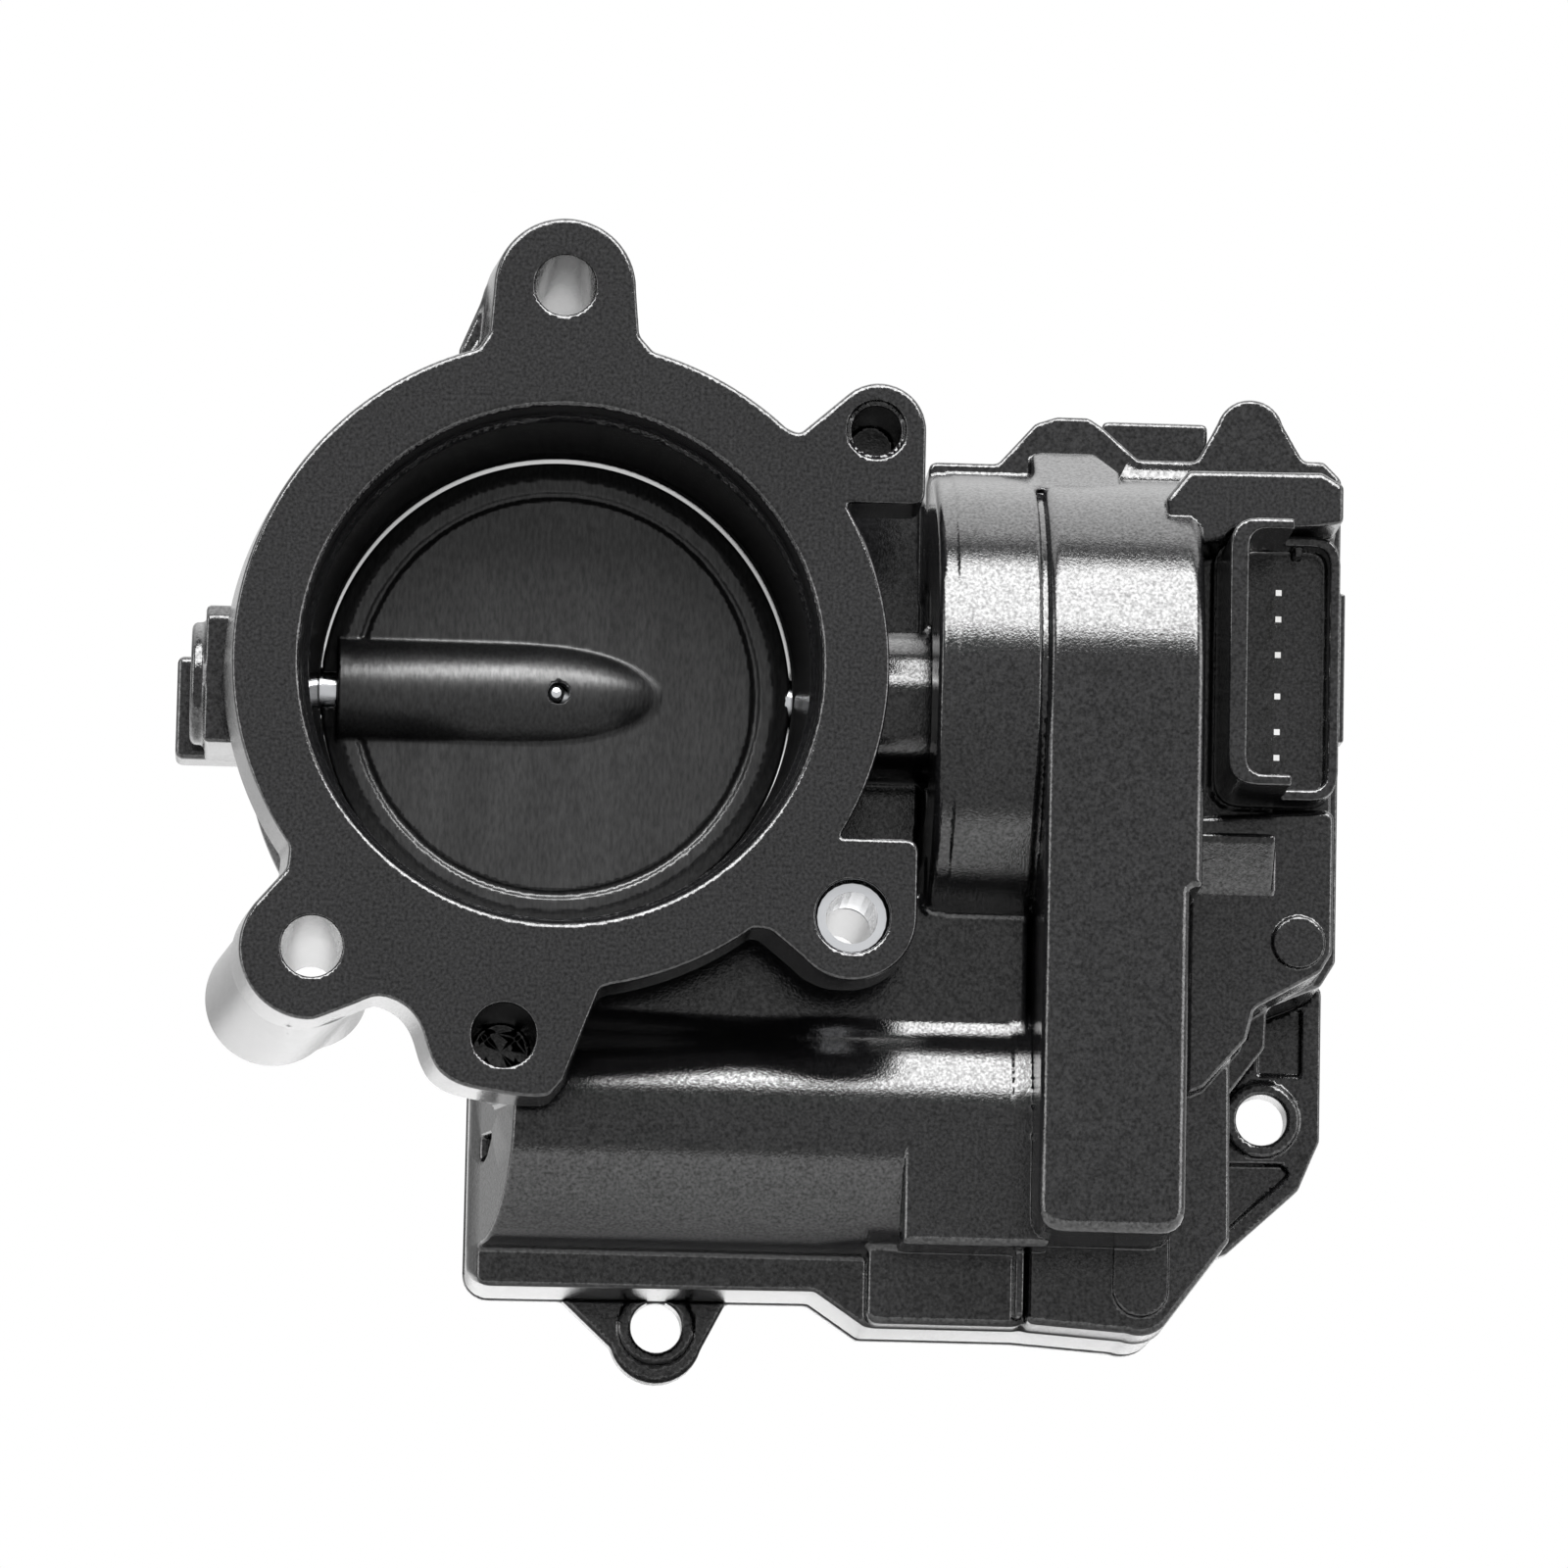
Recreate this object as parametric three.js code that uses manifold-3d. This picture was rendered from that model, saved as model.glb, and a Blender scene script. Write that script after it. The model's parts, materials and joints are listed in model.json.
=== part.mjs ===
// Electronic throttle body: a moulded housing around a round air bore, closed by a plate on a
// shaft that a small electric motor turns through two gear stages.
// Millimetres. The origin is the centre of the air bore in the face of the manifold flange.
// The bore runs along +Y, away from the manifold; +Z is up and +X points to the gear case.
import * as THREE from 'three';
import { mergeVertices } from 'three/addons/utils/BufferGeometryUtils.js';
import Module from 'manifold-3d';

const wasm = await Module();
wasm.setup();

// ---- driving dimensions -------------------------------------------------------------------
const GAP = 0.3; // clearance between two pieces that touch
const WALL = 2.3; // wall of the moulded housing

const BORE_R = 28.65; // air bore at the plate
const MOUTH_R = 30.7; // air bore at the flange face
const INLET_R = 31.5; // air bore at the inlet end
const TUBE_R = 35; // outside of the bore tube
const RING_R = 38.8; // outside of the flange ring
const FLANGE_T = 11; // flange thickness
const INLET_Y = 62; // end of the inlet tube

const SHAFT_Y = 29; // depth of the throttle shaft behind the flange face
const SHAFT_R = 3; // shaft inside the bore
const SHAFT_BIG_R = 4; // shaft from the right bearing to the gears
const PLATE_SPHERE_R = 28.35; // every point of the plate stays inside this sphere
const PLATE_FRONT = 4.2; // plate front face ahead of the shaft axis
const PLATE_BACK = 1.6; // plate rear face ahead of the shaft axis
const PLATE_BOSS_R = 7.3; // bullet shaped boss over the shaft
const CLOSED_TILT = 3; // degrees from square to the bore when closed

const MOTOR_Z = -51.5; // motor axis below the shaft
const BARREL_R = 15.1; // outside of the motor barrel
const MOTOR_R = 12.5; // motor can
const DRUM_R = 28.4; // round gear case about the shaft
const WEB_Y = 18.7; // front of the web between bore, barrel and gear case
const RIM_Y = 29; // front of the rim along the barrel
const JOINT_Y = 46; // rear face of the housing, where the cover sits
const COVER_T = 2.6; // cover plate
const DOME_Y = 55; // rear face of the cover dome

const MODULE = 0.8; // gear module
const SECTOR_TEETH = 54; // on a full circle
const IDLER_SMALL_TEETH = 15;
const IDLER_LARGE_TEETH = 48;
const PINION_TEETH = 12;
const STAGE_2_X = [60.2, 65]; // sector and small idler teeth
const STAGE_1_X = [66, 69.5]; // large idler teeth and pinion

// ---- materials ----------------------------------------------------------------------------
const paint = (color, roughness, metalness) =>
  new THREE.MeshStandardMaterial({ color, roughness, metalness });
const BLACK_PLASTIC = paint(0x1c1c1e, 0.3, 0);
const DARK_PLASTIC = paint(0x232325, 0.45, 0);
const GEAR_PLASTIC = paint(0xd9d3c3, 0.5, 0);
const STEEL = paint(0xb9bcc0, 0.25, 1);
const ZINC = paint(0xa7a9a6, 0.4, 1);
const SPRING_STEEL = paint(0x4a4c50, 0.35, 1);
const BRASS = paint(0xc8a862, 0.3, 1);
const RUBBER = paint(0x151515, 0.8, 0);
const MAGNET = paint(0x3a3b3d, 0.5, 0.6);
const BOARD_GREEN = paint(0x23583a, 0.5, 0);

// ---- solids -------------------------------------------------------------------------------
const radians = (degrees) => (degrees * Math.PI) / 180;

function solidOf(geometry) {
  const bare = geometry.clone();
  bare.deleteAttribute('normal');
  bare.deleteAttribute('uv');
  const merged = mergeVertices(bare, 1e-4);
  return new wasm.Manifold(new wasm.Mesh({
    numProp: 3,
    vertProperties: new Float32Array(merged.attributes.position.array),
    triVerts: new Uint32Array(merged.index.array),
  }));
}

function geometryOf(solid) {
  const mesh = solid.getMesh();
  const geometry = new THREE.BufferGeometry();
  geometry.setAttribute('position', new THREE.BufferAttribute(mesh.vertProperties, 3));
  geometry.setIndex(new THREE.BufferAttribute(mesh.triVerts, 1));
  return geometry;
}

const join = (...solids) => solids.reduce((all, next) => all.add(next));
const cut = (body, ...tools) => tools.reduce((left, tool) => left.subtract(tool), body);

// Points on an arc, from one angle to another in degrees.
function arc(centreA, centreB, radius, from, to, steps) {
  return Array.from({ length: steps + 1 }, (_, i) => {
    const angle = radians(from + ((to - from) * i) / steps);
    return [centreA + radius * Math.cos(angle), centreB + radius * Math.sin(angle)];
  });
}

const circle = (centreA, centreB, radius, sides) =>
  arc(centreA, centreB, radius, 0, 360, sides).slice(0, sides);

// A rectangle with its corners rounded.
function roundedBox(a0, a1, b0, b1, radius, steps = 3) {
  return [
    ...arc(a1 - radius, b0 + radius, radius, -90, 0, steps),
    ...arc(a1 - radius, b1 - radius, radius, 0, 90, steps),
    ...arc(a0 + radius, b1 - radius, radius, 90, 180, steps),
    ...arc(a0 + radius, b0 + radius, radius, 180, 270, steps),
  ];
}

function extrude(points, depth) {
  const shape = new THREE.Shape(points.map(([a, b]) => new THREE.Vector2(a, b)));
  return new THREE.ExtrudeGeometry(shape, { depth, bevelEnabled: false });
}

// A prism along Y from an outline in X and Z.
function prismY(points, y0, y1) {
  const geometry = extrude(points, y1 - y0);
  geometry.rotateX(Math.PI / 2);
  geometry.translate(0, y1, 0);
  return solidOf(geometry);
}

// A prism along X from an outline in Y and Z.
function prismX(points, x0, x1) {
  const geometry = extrude(points, x1 - x0);
  geometry.applyMatrix4(new THREE.Matrix4().makeBasis(
    new THREE.Vector3(0, 1, 0), new THREE.Vector3(0, 0, 1), new THREE.Vector3(1, 0, 0)));
  geometry.translate(x0, 0, 0);
  return solidOf(geometry);
}

const box = (x0, x1, y0, y1, z0, z1) =>
  prismY([[x0, z0], [x1, z0], [x1, z1], [x0, z1]], y0, y1);
const rodX = (y, z, radius, x0, x1, sides = 24) => prismX(circle(y, z, radius, sides), x0, x1);
const rodY = (x, z, radius, y0, y1, sides = 24) => prismY(circle(x, z, radius, sides), y0, y1);

// A solid of revolution about a line along Y or X through the origin; the profile is a closed
// list of [radius, distance along the line].
function turned(profile, sides) {
  const points = profile.map(([radius, along]) => new THREE.Vector2(radius, along));
  points.push(points[0].clone());
  return new THREE.LatheGeometry(points, sides);
}

const turnedY = (profile, sides) => solidOf(turned(profile, sides));

function turnedX(profile, sides, y) {
  const geometry = turned(profile, sides);
  geometry.rotateZ(-Math.PI / 2);
  geometry.translate(0, y, 0);
  return solidOf(geometry);
}

// ---- throttle housing ---------------------------------------------------------------------
const HOLES = {
  top: { x: -0.6, z: 45.2, radius: 3.65, depth: 50 },
  upperRight: { x: 36.7, z: 28.9, radius: 2.95, depth: 14 },
  lowerRight: { x: 35, z: -29.3, radius: 3.3, depth: 50 },
  bottom: { x: -5.7, z: -44.5, radius: 3.8, depth: 19 },
  lowerLeft: { x: -28.5, z: -34.6, radius: 3.65, depth: 50 },
};
const LUG_SIDE_X = 42.6; // right side of the two lugs beside the gear case
const WINDOW_Z = 20; // half height of the window between the ring and the gear case

const flangeOutline = [
  ...arc(0, 0, RING_R, -31, 31, 12),
  [LUG_SIDE_X, WINDOW_Z],
  ...arc(LUG_SIDE_X - 5.6, 28.9, 5.6, 0, 128, 7),
  [27.6, 28.1],
  ...arc(0, 0, RING_R, 48, 75, 5),
  [8.3, 39.4],
  ...arc(-0.6, 44.9, 8.4, 0, 180, 12),
  [-9.4, 39.4],
  ...arc(0, 0, RING_R, 106, 216, 20),
  [-31.6, -25.4],
  ...arc(-28.5, -34.8, 8.5, 143, 268, 9),
  [-24.4, -42.1],
  [-21.2, -40.5],
  [-18.6, -40.8],
  [-16.3, -42.4],
  [-13.9, -47.6],
  [-11.9, -49.5],
  [-1.3, -51.5],
  [1, -50],
  [5.5, -38.6],
  ...arc(0, 0, RING_R, 280, 307, 5),
  [25.4, -31.2],
  ...arc(LUG_SIDE_X - 7.6, -29.3, 7.6, 222, 360, 9),
  [LUG_SIDE_X, -WINDOW_Z],
];

// The rim that carries the cover: the outline of the gear case and the motor bay.
const LOBE = { x: 83.8, z: 35.4, radius: 3.8 };
const rimOutline = [
  [-9.1, -36],
  [-9.1, -68.3],
  [-6.1, -71.3],
  [32.8, -71],
  [38.9, -75.1],
  [57.7, -75.1],
  ...arc(71.2, -72, 4.2, 250, 315, 3),
  [81.8, -64.6],
  [81.5, -47],
  [86.6, -40.2],
  [86.8, -35.2],
  [93.2, -32.6],
  [95, -29.6],
  [95, 29.6],
  [92.8, 31.8],
  [90.3, 31.8],
  ...arc(LOBE.x, LOBE.z, LOBE.radius, 15, 165, 7),
  [77.3, 31.4],
  [70.2, 31.4],
  [65.6, 35.4],
  [64, 36.4],
  [60.2, 36.4],
  [57.6, 35.5],
  [53.1, 30.4],
  [44.7, 30.4],
  [44.7, -36],
];

// Hollows that open to the rear, as boxes: x0, x1, z0, z1 and the depth they start at.
const DRUM_IN_R = DRUM_R - WALL - 0.2;
const HOLLOWS = [
  { x: [47.2, 74.4], z: [-DRUM_IN_R, DRUM_IN_R], y: SHAFT_Y }, // spring and gears
  { x: [59.9, 73.1], z: [-63.6, -22], y: 2.9 }, // idler and pinion
  { x: [-2.2, 56.5], z: [MOTOR_Z - 12.8, MOTOR_Z + 12.8], y: SHAFT_Y }, // motor bay
  { x: [56, 60.5], z: [MOTOR_Z - 7.5, MOTOR_Z + 7.5], y: SHAFT_Y - 7.5 }, // motor nose slot
  { x: [80, 92], z: [-10, 18], y: 31 }, // behind the connector
  { x: [73, 81], z: [-9, 14.5], y: 31 }, // terminals to the sensor board
  { x: [78.8, 84.2], z: [-39, -14], y: 20 }, // lightening pocket
];
const COVER_SCREWS = [
  [LOBE.x, LOBE.z - 0.2], [89.3, -28.9], [71.2, -71.3], [-5.6, -67.6], [-5.6, -40.6], [62, 32.2],
];
const SHROUD = { x: [79.2, 93.5], z: [-12.1, 20], wall: 1.3 }; // connector shroud outside
const NECK = { x: [81, 91.6], z: [-9.6, 17.6] }; // connector neck through the housing

function makeHousing() {
  const flange = prismY(flangeOutline, 0, FLANGE_T);
  const tube = turnedY([
    [20, 2], [TUBE_R, 2], [TUBE_R, 50], [36.2, 51], [36.2, 57.5], [37.5, 58.5], [37.5, 60.5],
    [36.4, INLET_Y], [20, INLET_Y],
  ], 64);
  const gusset = prismY([[-6, 34], [-12.9, 36], [-12.9, 38.6], [-9.6, 46.5], [-4, 46]], 8, 20);
  const cornerBoss = join(
    rodY(-28.5, -34.6, 7, 8, 44), rodY(-32.6, -35.6, 7.7, 8, 44),
    prismY([[-28.5, -27.6], [-34.4, -28.2], [-31, -43.2], [-28.5, -41.6]], 8, 44));
  const topColumn = join(
    rodY(HOLES.top.x, HOLES.top.z, 6.2, 8, 44), box(-5, 3.8, 8, 44, 33, 43));
  const bottomBoss = rodY(HOLES.bottom.x, HOLES.bottom.z, 5.8, 8, 23);
  const windowBack = box(31, 46, 34, 42, -30, 26);
  const lugColumn = rodY(HOLES.upperRight.x, HOLES.upperRight.z, 4.8, 8, 17);
  const bearingBoss = join(
    rodX(SHAFT_Y, 0.6, 7.4, -43.9, -30),
    prismX([[21, -7.6], [37.5, -7.6], [37.5, 9.2], [22.5, 9.2], [21, 7.6]], -42.2, -31),
    box(-45.7, -33, 38, 45, -7.2, 5.4));
  const shaftBoss = rodX(SHAFT_Y, 0, 9.2, 31, 47.5);

  const rim = prismY(rimOutline, RIM_Y, JOINT_Y);
  const web = prismY([
    [4, -16], [4, -53], [57, -53], [57, -20], [44.7, -20], [44.7, -24], [34, -24],
  ], WEB_Y, JOINT_Y - 4);
  const drum = join(
    rodX(SHAFT_Y, 0, DRUM_R, 44.7, 56.8, 72),
    rodX(SHAFT_Y, 0, DRUM_R - 1, 56.7, 57.7, 72),
    rodX(SHAFT_Y, 0, DRUM_R, 57.6, 76.4, 72)).intersect(box(44, 77, 0, JOINT_Y, -30, 30));
  const frontY = SHAFT_Y - DRUM_R;
  const gearBox = join(
    prismX([[frontY, 0.5], [frontY, -64.6], [frontY + 1.2, -65.8], [JOINT_Y, -65.8],
      [JOINT_Y, 0.5]], 57.6, 74.9),
    box(74.8, 76.4, frontY, RIM_Y + 2, -24.7, 0.5));
  const barrel = join(
    rodX(SHAFT_Y, MOTOR_Z, BARREL_R, -4.2, 57.7, 48),
    box(42.4, 57.7, SHAFT_Y - BARREL_R, 33, -66.5, MOTOR_Z));
  const endWall = prismY([
    [-7.5, -37], [-7.5, -68.4], [-5, -70], [3, -70], [3, -37],
  ], RIM_Y - 8, JOINT_Y);

  const leftPlateau = box(38.9, 57.8, 24, RIM_Y + 2, -75.1, -64);
  const rightPlateau = prismY([
    [57.7, -75.1], ...arc(71.2, -72, 4.2, 250, 315, 3), [81.8, -64.6], [81.5, -40], [57.7, -40],
  ], 19.5, RIM_Y + 2);
  const sidePlateau = prismY([
    [76, -14], [76, -47.6], [78.2, -46.6], [83.3, -40.6], [84.2, -36.9], [92, -32.4],
    [93.4, -30], [93.4, -12.7],
  ], 17, RIM_Y + 2);
  const topBlock = prismY([
    [72.7, 17.8], [72.1, 23.4], [74.8, 26.9], [90.8, 27.1], [93.4, 25.6], [93.4, 21], [76, 17.8],
  ], 10, RIM_Y + 2);
  const topBump = prismY([
    [57, 25], [57, 31], [58.1, 31.5], [64.5, 31.5], [67.2, 28.4], [67.2, 25],
  ], 20, RIM_Y + 2);
  const wedge = prismX([[12, -16.4], [17, -24], [24, -24], [24, -16.4]], 76, 86.1);
  const connectorSeat = box(76, 93.4, 21, RIM_Y + 2, -14, 22);

  const solid = join(
    flange, tube, gusset, topColumn, cornerBoss, bottomBoss, lugColumn, windowBack, bearingBoss, shaftBoss,
    rim, web, drum, gearBox, barrel, endWall, leftPlateau, rightPlateau, sidePlateau, topBlock,
    topBump, wedge, connectorSeat);

  const airBore = turnedY([
    [0, -1], [MOUTH_R + 0.1, -1], [MOUTH_R, 0], [29.6, 12], [BORE_R, 24], [BORE_R, 34],
    [29.6, 46], [INLET_R, INLET_Y], [INLET_R + 0.1, INLET_Y + 1], [0, INLET_Y + 1],
  ], 64);
  const drumHollow = rodX(SHAFT_Y, 0, DRUM_IN_R, 47.2, 74.4, 60);
  const gearHollow = box(59.9, 74.4, frontY + WALL, JOINT_Y + 1, -22.4, 0);
  const bayHollow = rodX(SHAFT_Y, MOTOR_Z, 12.8, -2.2, 56.5, 48);
  const hollows = HOLLOWS.map(({ x, z, y }) => box(x[0], x[1], y, JOINT_Y + 1, z[0], z[1]));
  const flangeHoles = Object.values(HOLES).map(({ x, z, radius, depth }) =>
    rodY(x, z, radius, -1, depth, 20));
  const sleeveSeat = rodY(HOLES.lowerRight.x, HOLES.lowerRight.z, 4.4, -1, 17);
  const lugCounterbore = rodY(HOLES.upperRight.x, HOLES.upperRight.z, 3.5, -1, 0.8);
  const leftBearingBore = rodX(SHAFT_Y, 0, 5.3, -45, -33.3);
  const rightBearingBore = rodX(SHAFT_Y, 0, 7, 38.7, 48);
  const shaftBore = join(
    rodX(SHAFT_Y, 0, SHAFT_R + 0.6, -34, -20), rodX(SHAFT_Y, 0, SHAFT_BIG_R + 0.6, 20, 40));
  const axleHole = rodX(IDLER.y, IDLER.z, 1.8, 52, 60.5, 16);
  const screwHoles = COVER_SCREWS.map(([x, z]) => rodY(x, z, 2.1, 33, JOINT_Y + 1, 12));
  const shroudRoom = prismY(roundedBox(
    SHROUD.x[0] - GAP, SHROUD.x[1] + 2, SHROUD.z[0] - GAP, SHROUD.z[1] + GAP, 2), 0, 21);
  const neckHole = box(NECK.x[0] - GAP, NECK.x[1] + GAP, 10, 32, NECK.z[0] - GAP, NECK.z[1] + GAP);

  return cut(
    solid, airBore, drumHollow, gearHollow, bayHollow, ...hollows, ...flangeHoles, sleeveSeat,
    lugCounterbore, leftBearingBore, rightBearingBore, shaftBore, axleHole, ...screwHoles,
    shroudRoom, neckHole);
}

// ---- rear cover and its seal --------------------------------------------------------------
const GASKET_Y = [JOINT_Y + GAP, JOINT_Y + GAP + 0.9];
const COVER_Y = GASKET_Y[1] + GAP;
const COVER_LUGS = { left: [14.5, -74.3], right: [87.8, -47.1] };

function makeGasket() {
  const plate = prismY(rimOutline, ...GASKET_Y);
  const windows = HOLLOWS.map(({ x, z }) =>
    box(x[0] - 0.4, x[1] + 0.4, JOINT_Y, COVER_Y + 1, z[0] - 0.4, z[1] + 0.4));
  const holes = COVER_SCREWS.map(([x, z]) => rodY(x, z, 2.1, JOINT_Y, COVER_Y + 1, 12));
  return cut(plate, ...windows, ...holes);
}

function makeCover() {
  const backY = COVER_Y + COVER_T;
  const plate = prismY(rimOutline, COVER_Y, backY);
  const leftLug = prismY([
    [2.2, -70.6], [2.2, -68], [23.2, -68], [23.2, -70.6],
    ...arc(14.5, -75.4, 5.8, -15, -165, 7),
  ], COVER_Y - 2, backY);
  const rightLug = prismY([
    [81, -40], [81.5, -65], [83.8, -63.6], [92.5, -55.6], [94.1, -51.7], [95, -49.6],
    [95, -30.5], [90, -33], [86, -34],
  ], COVER_Y - 2, backY);
  const topTab = prismY([[67, 30], [67, 39], [80, 39], [80, 33]], COVER_Y - 2, backY);
  const dome = prismY(roundedBox(57, 77, -66, 28.6, 3), COVER_Y, DOME_Y);
  const bayDome = prismY(roundedBox(0, 58, -66, -37.6, 3), COVER_Y, backY + 1.4);
  const ribs = Array.from({ length: 6 }, (_, i) =>
    box(5 + i * 9, 6.4 + i * 9, COVER_Y, backY + 3, -68, -38));
  const domeHollow = box(59.4, 74.6, COVER_Y - 1, DOME_Y - 2, -63.6, 26.2);
  const rimCut = prismY(rimOutline, COVER_Y - 3, COVER_Y);
  const screwHoles = COVER_SCREWS.map(([x, z]) => rodY(x, z, 2.1, COVER_Y - 3, DOME_Y, 12));
  const lugHoles = Object.values(COVER_LUGS).map(([x, z]) => rodY(x, z, 3.1, COVER_Y - 3, DOME_Y));
  const collars = Object.values(COVER_LUGS).map(([x, z]) => rodY(x, z, 4.6, COVER_Y - 2.6, backY));
  const boxClear = box(81, 88, COVER_Y - 3, COVER_Y, -47, -30);
  const tabs = cut(join(leftLug, rightLug, topTab, ...collars), rimCut, boxClear);
  return cut(join(plate, tabs, dome, bayDome, ...ribs), domeHollow, ...screwHoles, ...lugHoles);
}

function makeCoverScrew(x, z) {
  const headY = COVER_Y + COVER_T + GAP;
  const shank = rodY(x, z, 1.8, 34, headY + 0.5, 12);
  const head = rodY(x, z, 3.2, headY, headY + 2.4, 16);
  const socket = rodY(x, z, 1.5, headY + 1.1, headY + 3, 6);
  return cut(join(shank, head), socket);
}

// ---- shaft, plate and bearings ------------------------------------------------------------
const SHAFT_X = [-41, 68];
const PIN_R = 1;
const PIN_X = 0.3;

function makeShaft() {
  const rod = join(
    rodX(SHAFT_Y, 0, SHAFT_R, SHAFT_X[0], 32), rodX(SHAFT_Y, 0, SHAFT_BIG_R, 31.5, SHAFT_X[1]));
  return cut(rod, rodY(PIN_X, 0, PIN_R + GAP, SHAFT_Y - 5, SHAFT_Y + 5, 16));
}

// The bullet shaped boss is a solid of revolution: a straight run, then an elliptic nose.
function bossProfile(tipX, straightX, endX) {
  const nose = Array.from({ length: 11 }, (_, i) => {
    const share = i / 10;
    const radius = PLATE_FRONT + (PLATE_BOSS_R - PLATE_FRONT) * Math.sqrt(1 - share * share);
    return [radius, straightX + (tipX - straightX) * share];
  });
  return [[0, endX], [PLATE_BOSS_R, endX], ...nose, [0, tipX]];
}

function makePlate() {
  const disc = rodY(0, 0, 30, SHAFT_Y - PLATE_FRONT, SHAFT_Y - PLATE_BACK, 48);
  const frontHalf = box(-31, 31, 0, SHAFT_Y - PLATE_BACK, -12, 12);
  const frontBoss = turnedX(bossProfile(12.6, -9, -29), 32, SHAFT_Y).intersect(frontHalf);
  const rearBoss = rodX(SHAFT_Y, 0, 5.2, -29, 29, 32);
  const sphere = new THREE.SphereGeometry(PLATE_SPHERE_R, 56, 24);
  sphere.rotateX(Math.PI / 2);
  sphere.translate(0, SHAFT_Y, 0);
  const body = join(disc, frontBoss, cut(rearBoss, box(-31, 31, 0, SHAFT_Y - 3, -12, 12)));
  const shaftHole = rodX(SHAFT_Y, 0, SHAFT_R + GAP, -31, 31);
  const pinHole = rodY(PIN_X, 0, PIN_R + GAP, 10, 40, 16);
  return cut(body.intersect(solidOf(sphere)), shaftHole, pinHole);
}

function makePlatePin() {
  const frontY = SHAFT_Y - PLATE_BOSS_R + 0.25;
  return turnedY([
    [0, frontY], [0.6, frontY + 0.15], [PIN_R, frontY + 0.7], [PIN_R, SHAFT_Y + 4.6],
    [0, SHAFT_Y + 4.6],
  ], 16);
}

const ringX = (outer, inner, x0, x1, sides = 24) =>
  cut(rodX(SHAFT_Y, 0, outer, x0, x1, sides), rodX(SHAFT_Y, 0, inner, x0 - 1, x1 + 1));

// ---- gears --------------------------------------------------------------------------------
const pitchRadius = (teeth) => (teeth * MODULE) / 2;

// The idler axis is where the two centre distances meet, a little behind the other two axes.
const IDLER = (() => {
  const toShaft = pitchRadius(SECTOR_TEETH) + pitchRadius(IDLER_SMALL_TEETH);
  const toMotor = pitchRadius(PINION_TEETH) + pitchRadius(IDLER_LARGE_TEETH);
  const span = -MOTOR_Z;
  const down = (span * span + toShaft * toShaft - toMotor * toMotor) / (2 * span);
  return { y: SHAFT_Y + Math.sqrt(toShaft * toShaft - down * down), z: -down };
})();

// Straight sided teeth, thinner than half the pitch so that the mesh runs with play.
function toothPoints(teeth, index, phase) {
  const pitch = pitchRadius(teeth);
  const root = pitch - 1.15 * MODULE;
  const tip = pitch + 0.8 * MODULE;
  const halfAtPitch = 0.39 * Math.PI * MODULE * 0.5;
  const half = (radius) => (halfAtPitch - (radius - pitch) * Math.tan(radians(20))) / radius;
  const centre = phase + (2 * Math.PI * index) / teeth;
  const at = (radius, angle) => [radius * Math.cos(angle), radius * Math.sin(angle)];
  return [
    at(root, centre - half(root)), at(tip, centre - half(tip)),
    at(tip, centre + half(tip)), at(root, centre + half(root)),
  ];
}

const shifted = (points, y, z) => points.map(([a, b]) => [a + y, b + z]);

function gear(teeth, phase, y, z, x0, x1) {
  const points = Array.from({ length: teeth }, (_, i) => toothPoints(teeth, i, phase)).flat();
  return prismX(shifted(points, y, z), x0, x1);
}

// Angles of the two mesh lines in the plane of Y and Z.
const MESH_2 = Math.atan2(IDLER.z, IDLER.y - SHAFT_Y);
const MESH_1 = Math.atan2(MOTOR_Z - IDLER.z, SHAFT_Y - IDLER.y);

function makeSectorGear() {
  const teeth = Array.from({ length: 17 }, (_, i) =>
    toothPoints(SECTOR_TEETH, i - 15, MESH_2)).flat();
  const wedge = prismX(shifted([...teeth, [3, 3], [-3, 3]], SHAFT_Y, 0), ...STAGE_2_X);
  const stopArm = prismX(shifted([[-4, 0], [4, 0], [3, 14], [-3, 14]], SHAFT_Y, 0), ...STAGE_2_X);
  const hub = rodX(SHAFT_Y, 0, 6.6, 58.6, 70.4);
  const bore = rodX(SHAFT_Y, 0, SHAFT_BIG_R + GAP, 58, 68.3);
  const magnetSeat = rodX(SHAFT_Y, 0, 5, 68.2, 71);
  const window = prismX(shifted([
    ...arc(0, 0, 16.6, -170, -94, 6), ...arc(0, 0, 9.4, -100, -164, 4),
  ], SHAFT_Y, 0), STAGE_2_X[0] - 1, STAGE_2_X[1] + 1);
  return cut(join(wedge, stopArm, hub), bore, magnetSeat, window);
}

function makeIdlerGear() {
  const small = gear(
    IDLER_SMALL_TEETH, MESH_2 + Math.PI + Math.PI / IDLER_SMALL_TEETH, IDLER.y, IDLER.z,
    STAGE_2_X[0], STAGE_1_X[0] + 0.2);
  const large = gear(IDLER_LARGE_TEETH, MESH_1, IDLER.y, IDLER.z, ...STAGE_1_X);
  const hub = rodX(IDLER.y, IDLER.z, 4.2, STAGE_1_X[1] - 0.2, 71.2);
  const bore = rodX(IDLER.y, IDLER.z, 1.8, 58, 73, 16);
  const pockets = Array.from({ length: 6 }, (_, i) => {
    const angle = radians(60 * i + 15);
    return rodX(
      IDLER.y + 12.6 * Math.cos(angle), IDLER.z + 12.6 * Math.sin(angle), 3.2, 65, 71, 10);
  });
  return cut(join(small, large, hub), bore, ...pockets);
}

function makePinion() {
  const phase = MESH_1 + Math.PI + Math.PI / PINION_TEETH;
  const teeth = gear(PINION_TEETH, phase, SHAFT_Y, MOTOR_Z, STAGE_1_X[0] - 0.3, 70);
  return cut(teeth, rodX(SHAFT_Y, MOTOR_Z, 1.5, 65, 71, 16));
}

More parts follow.
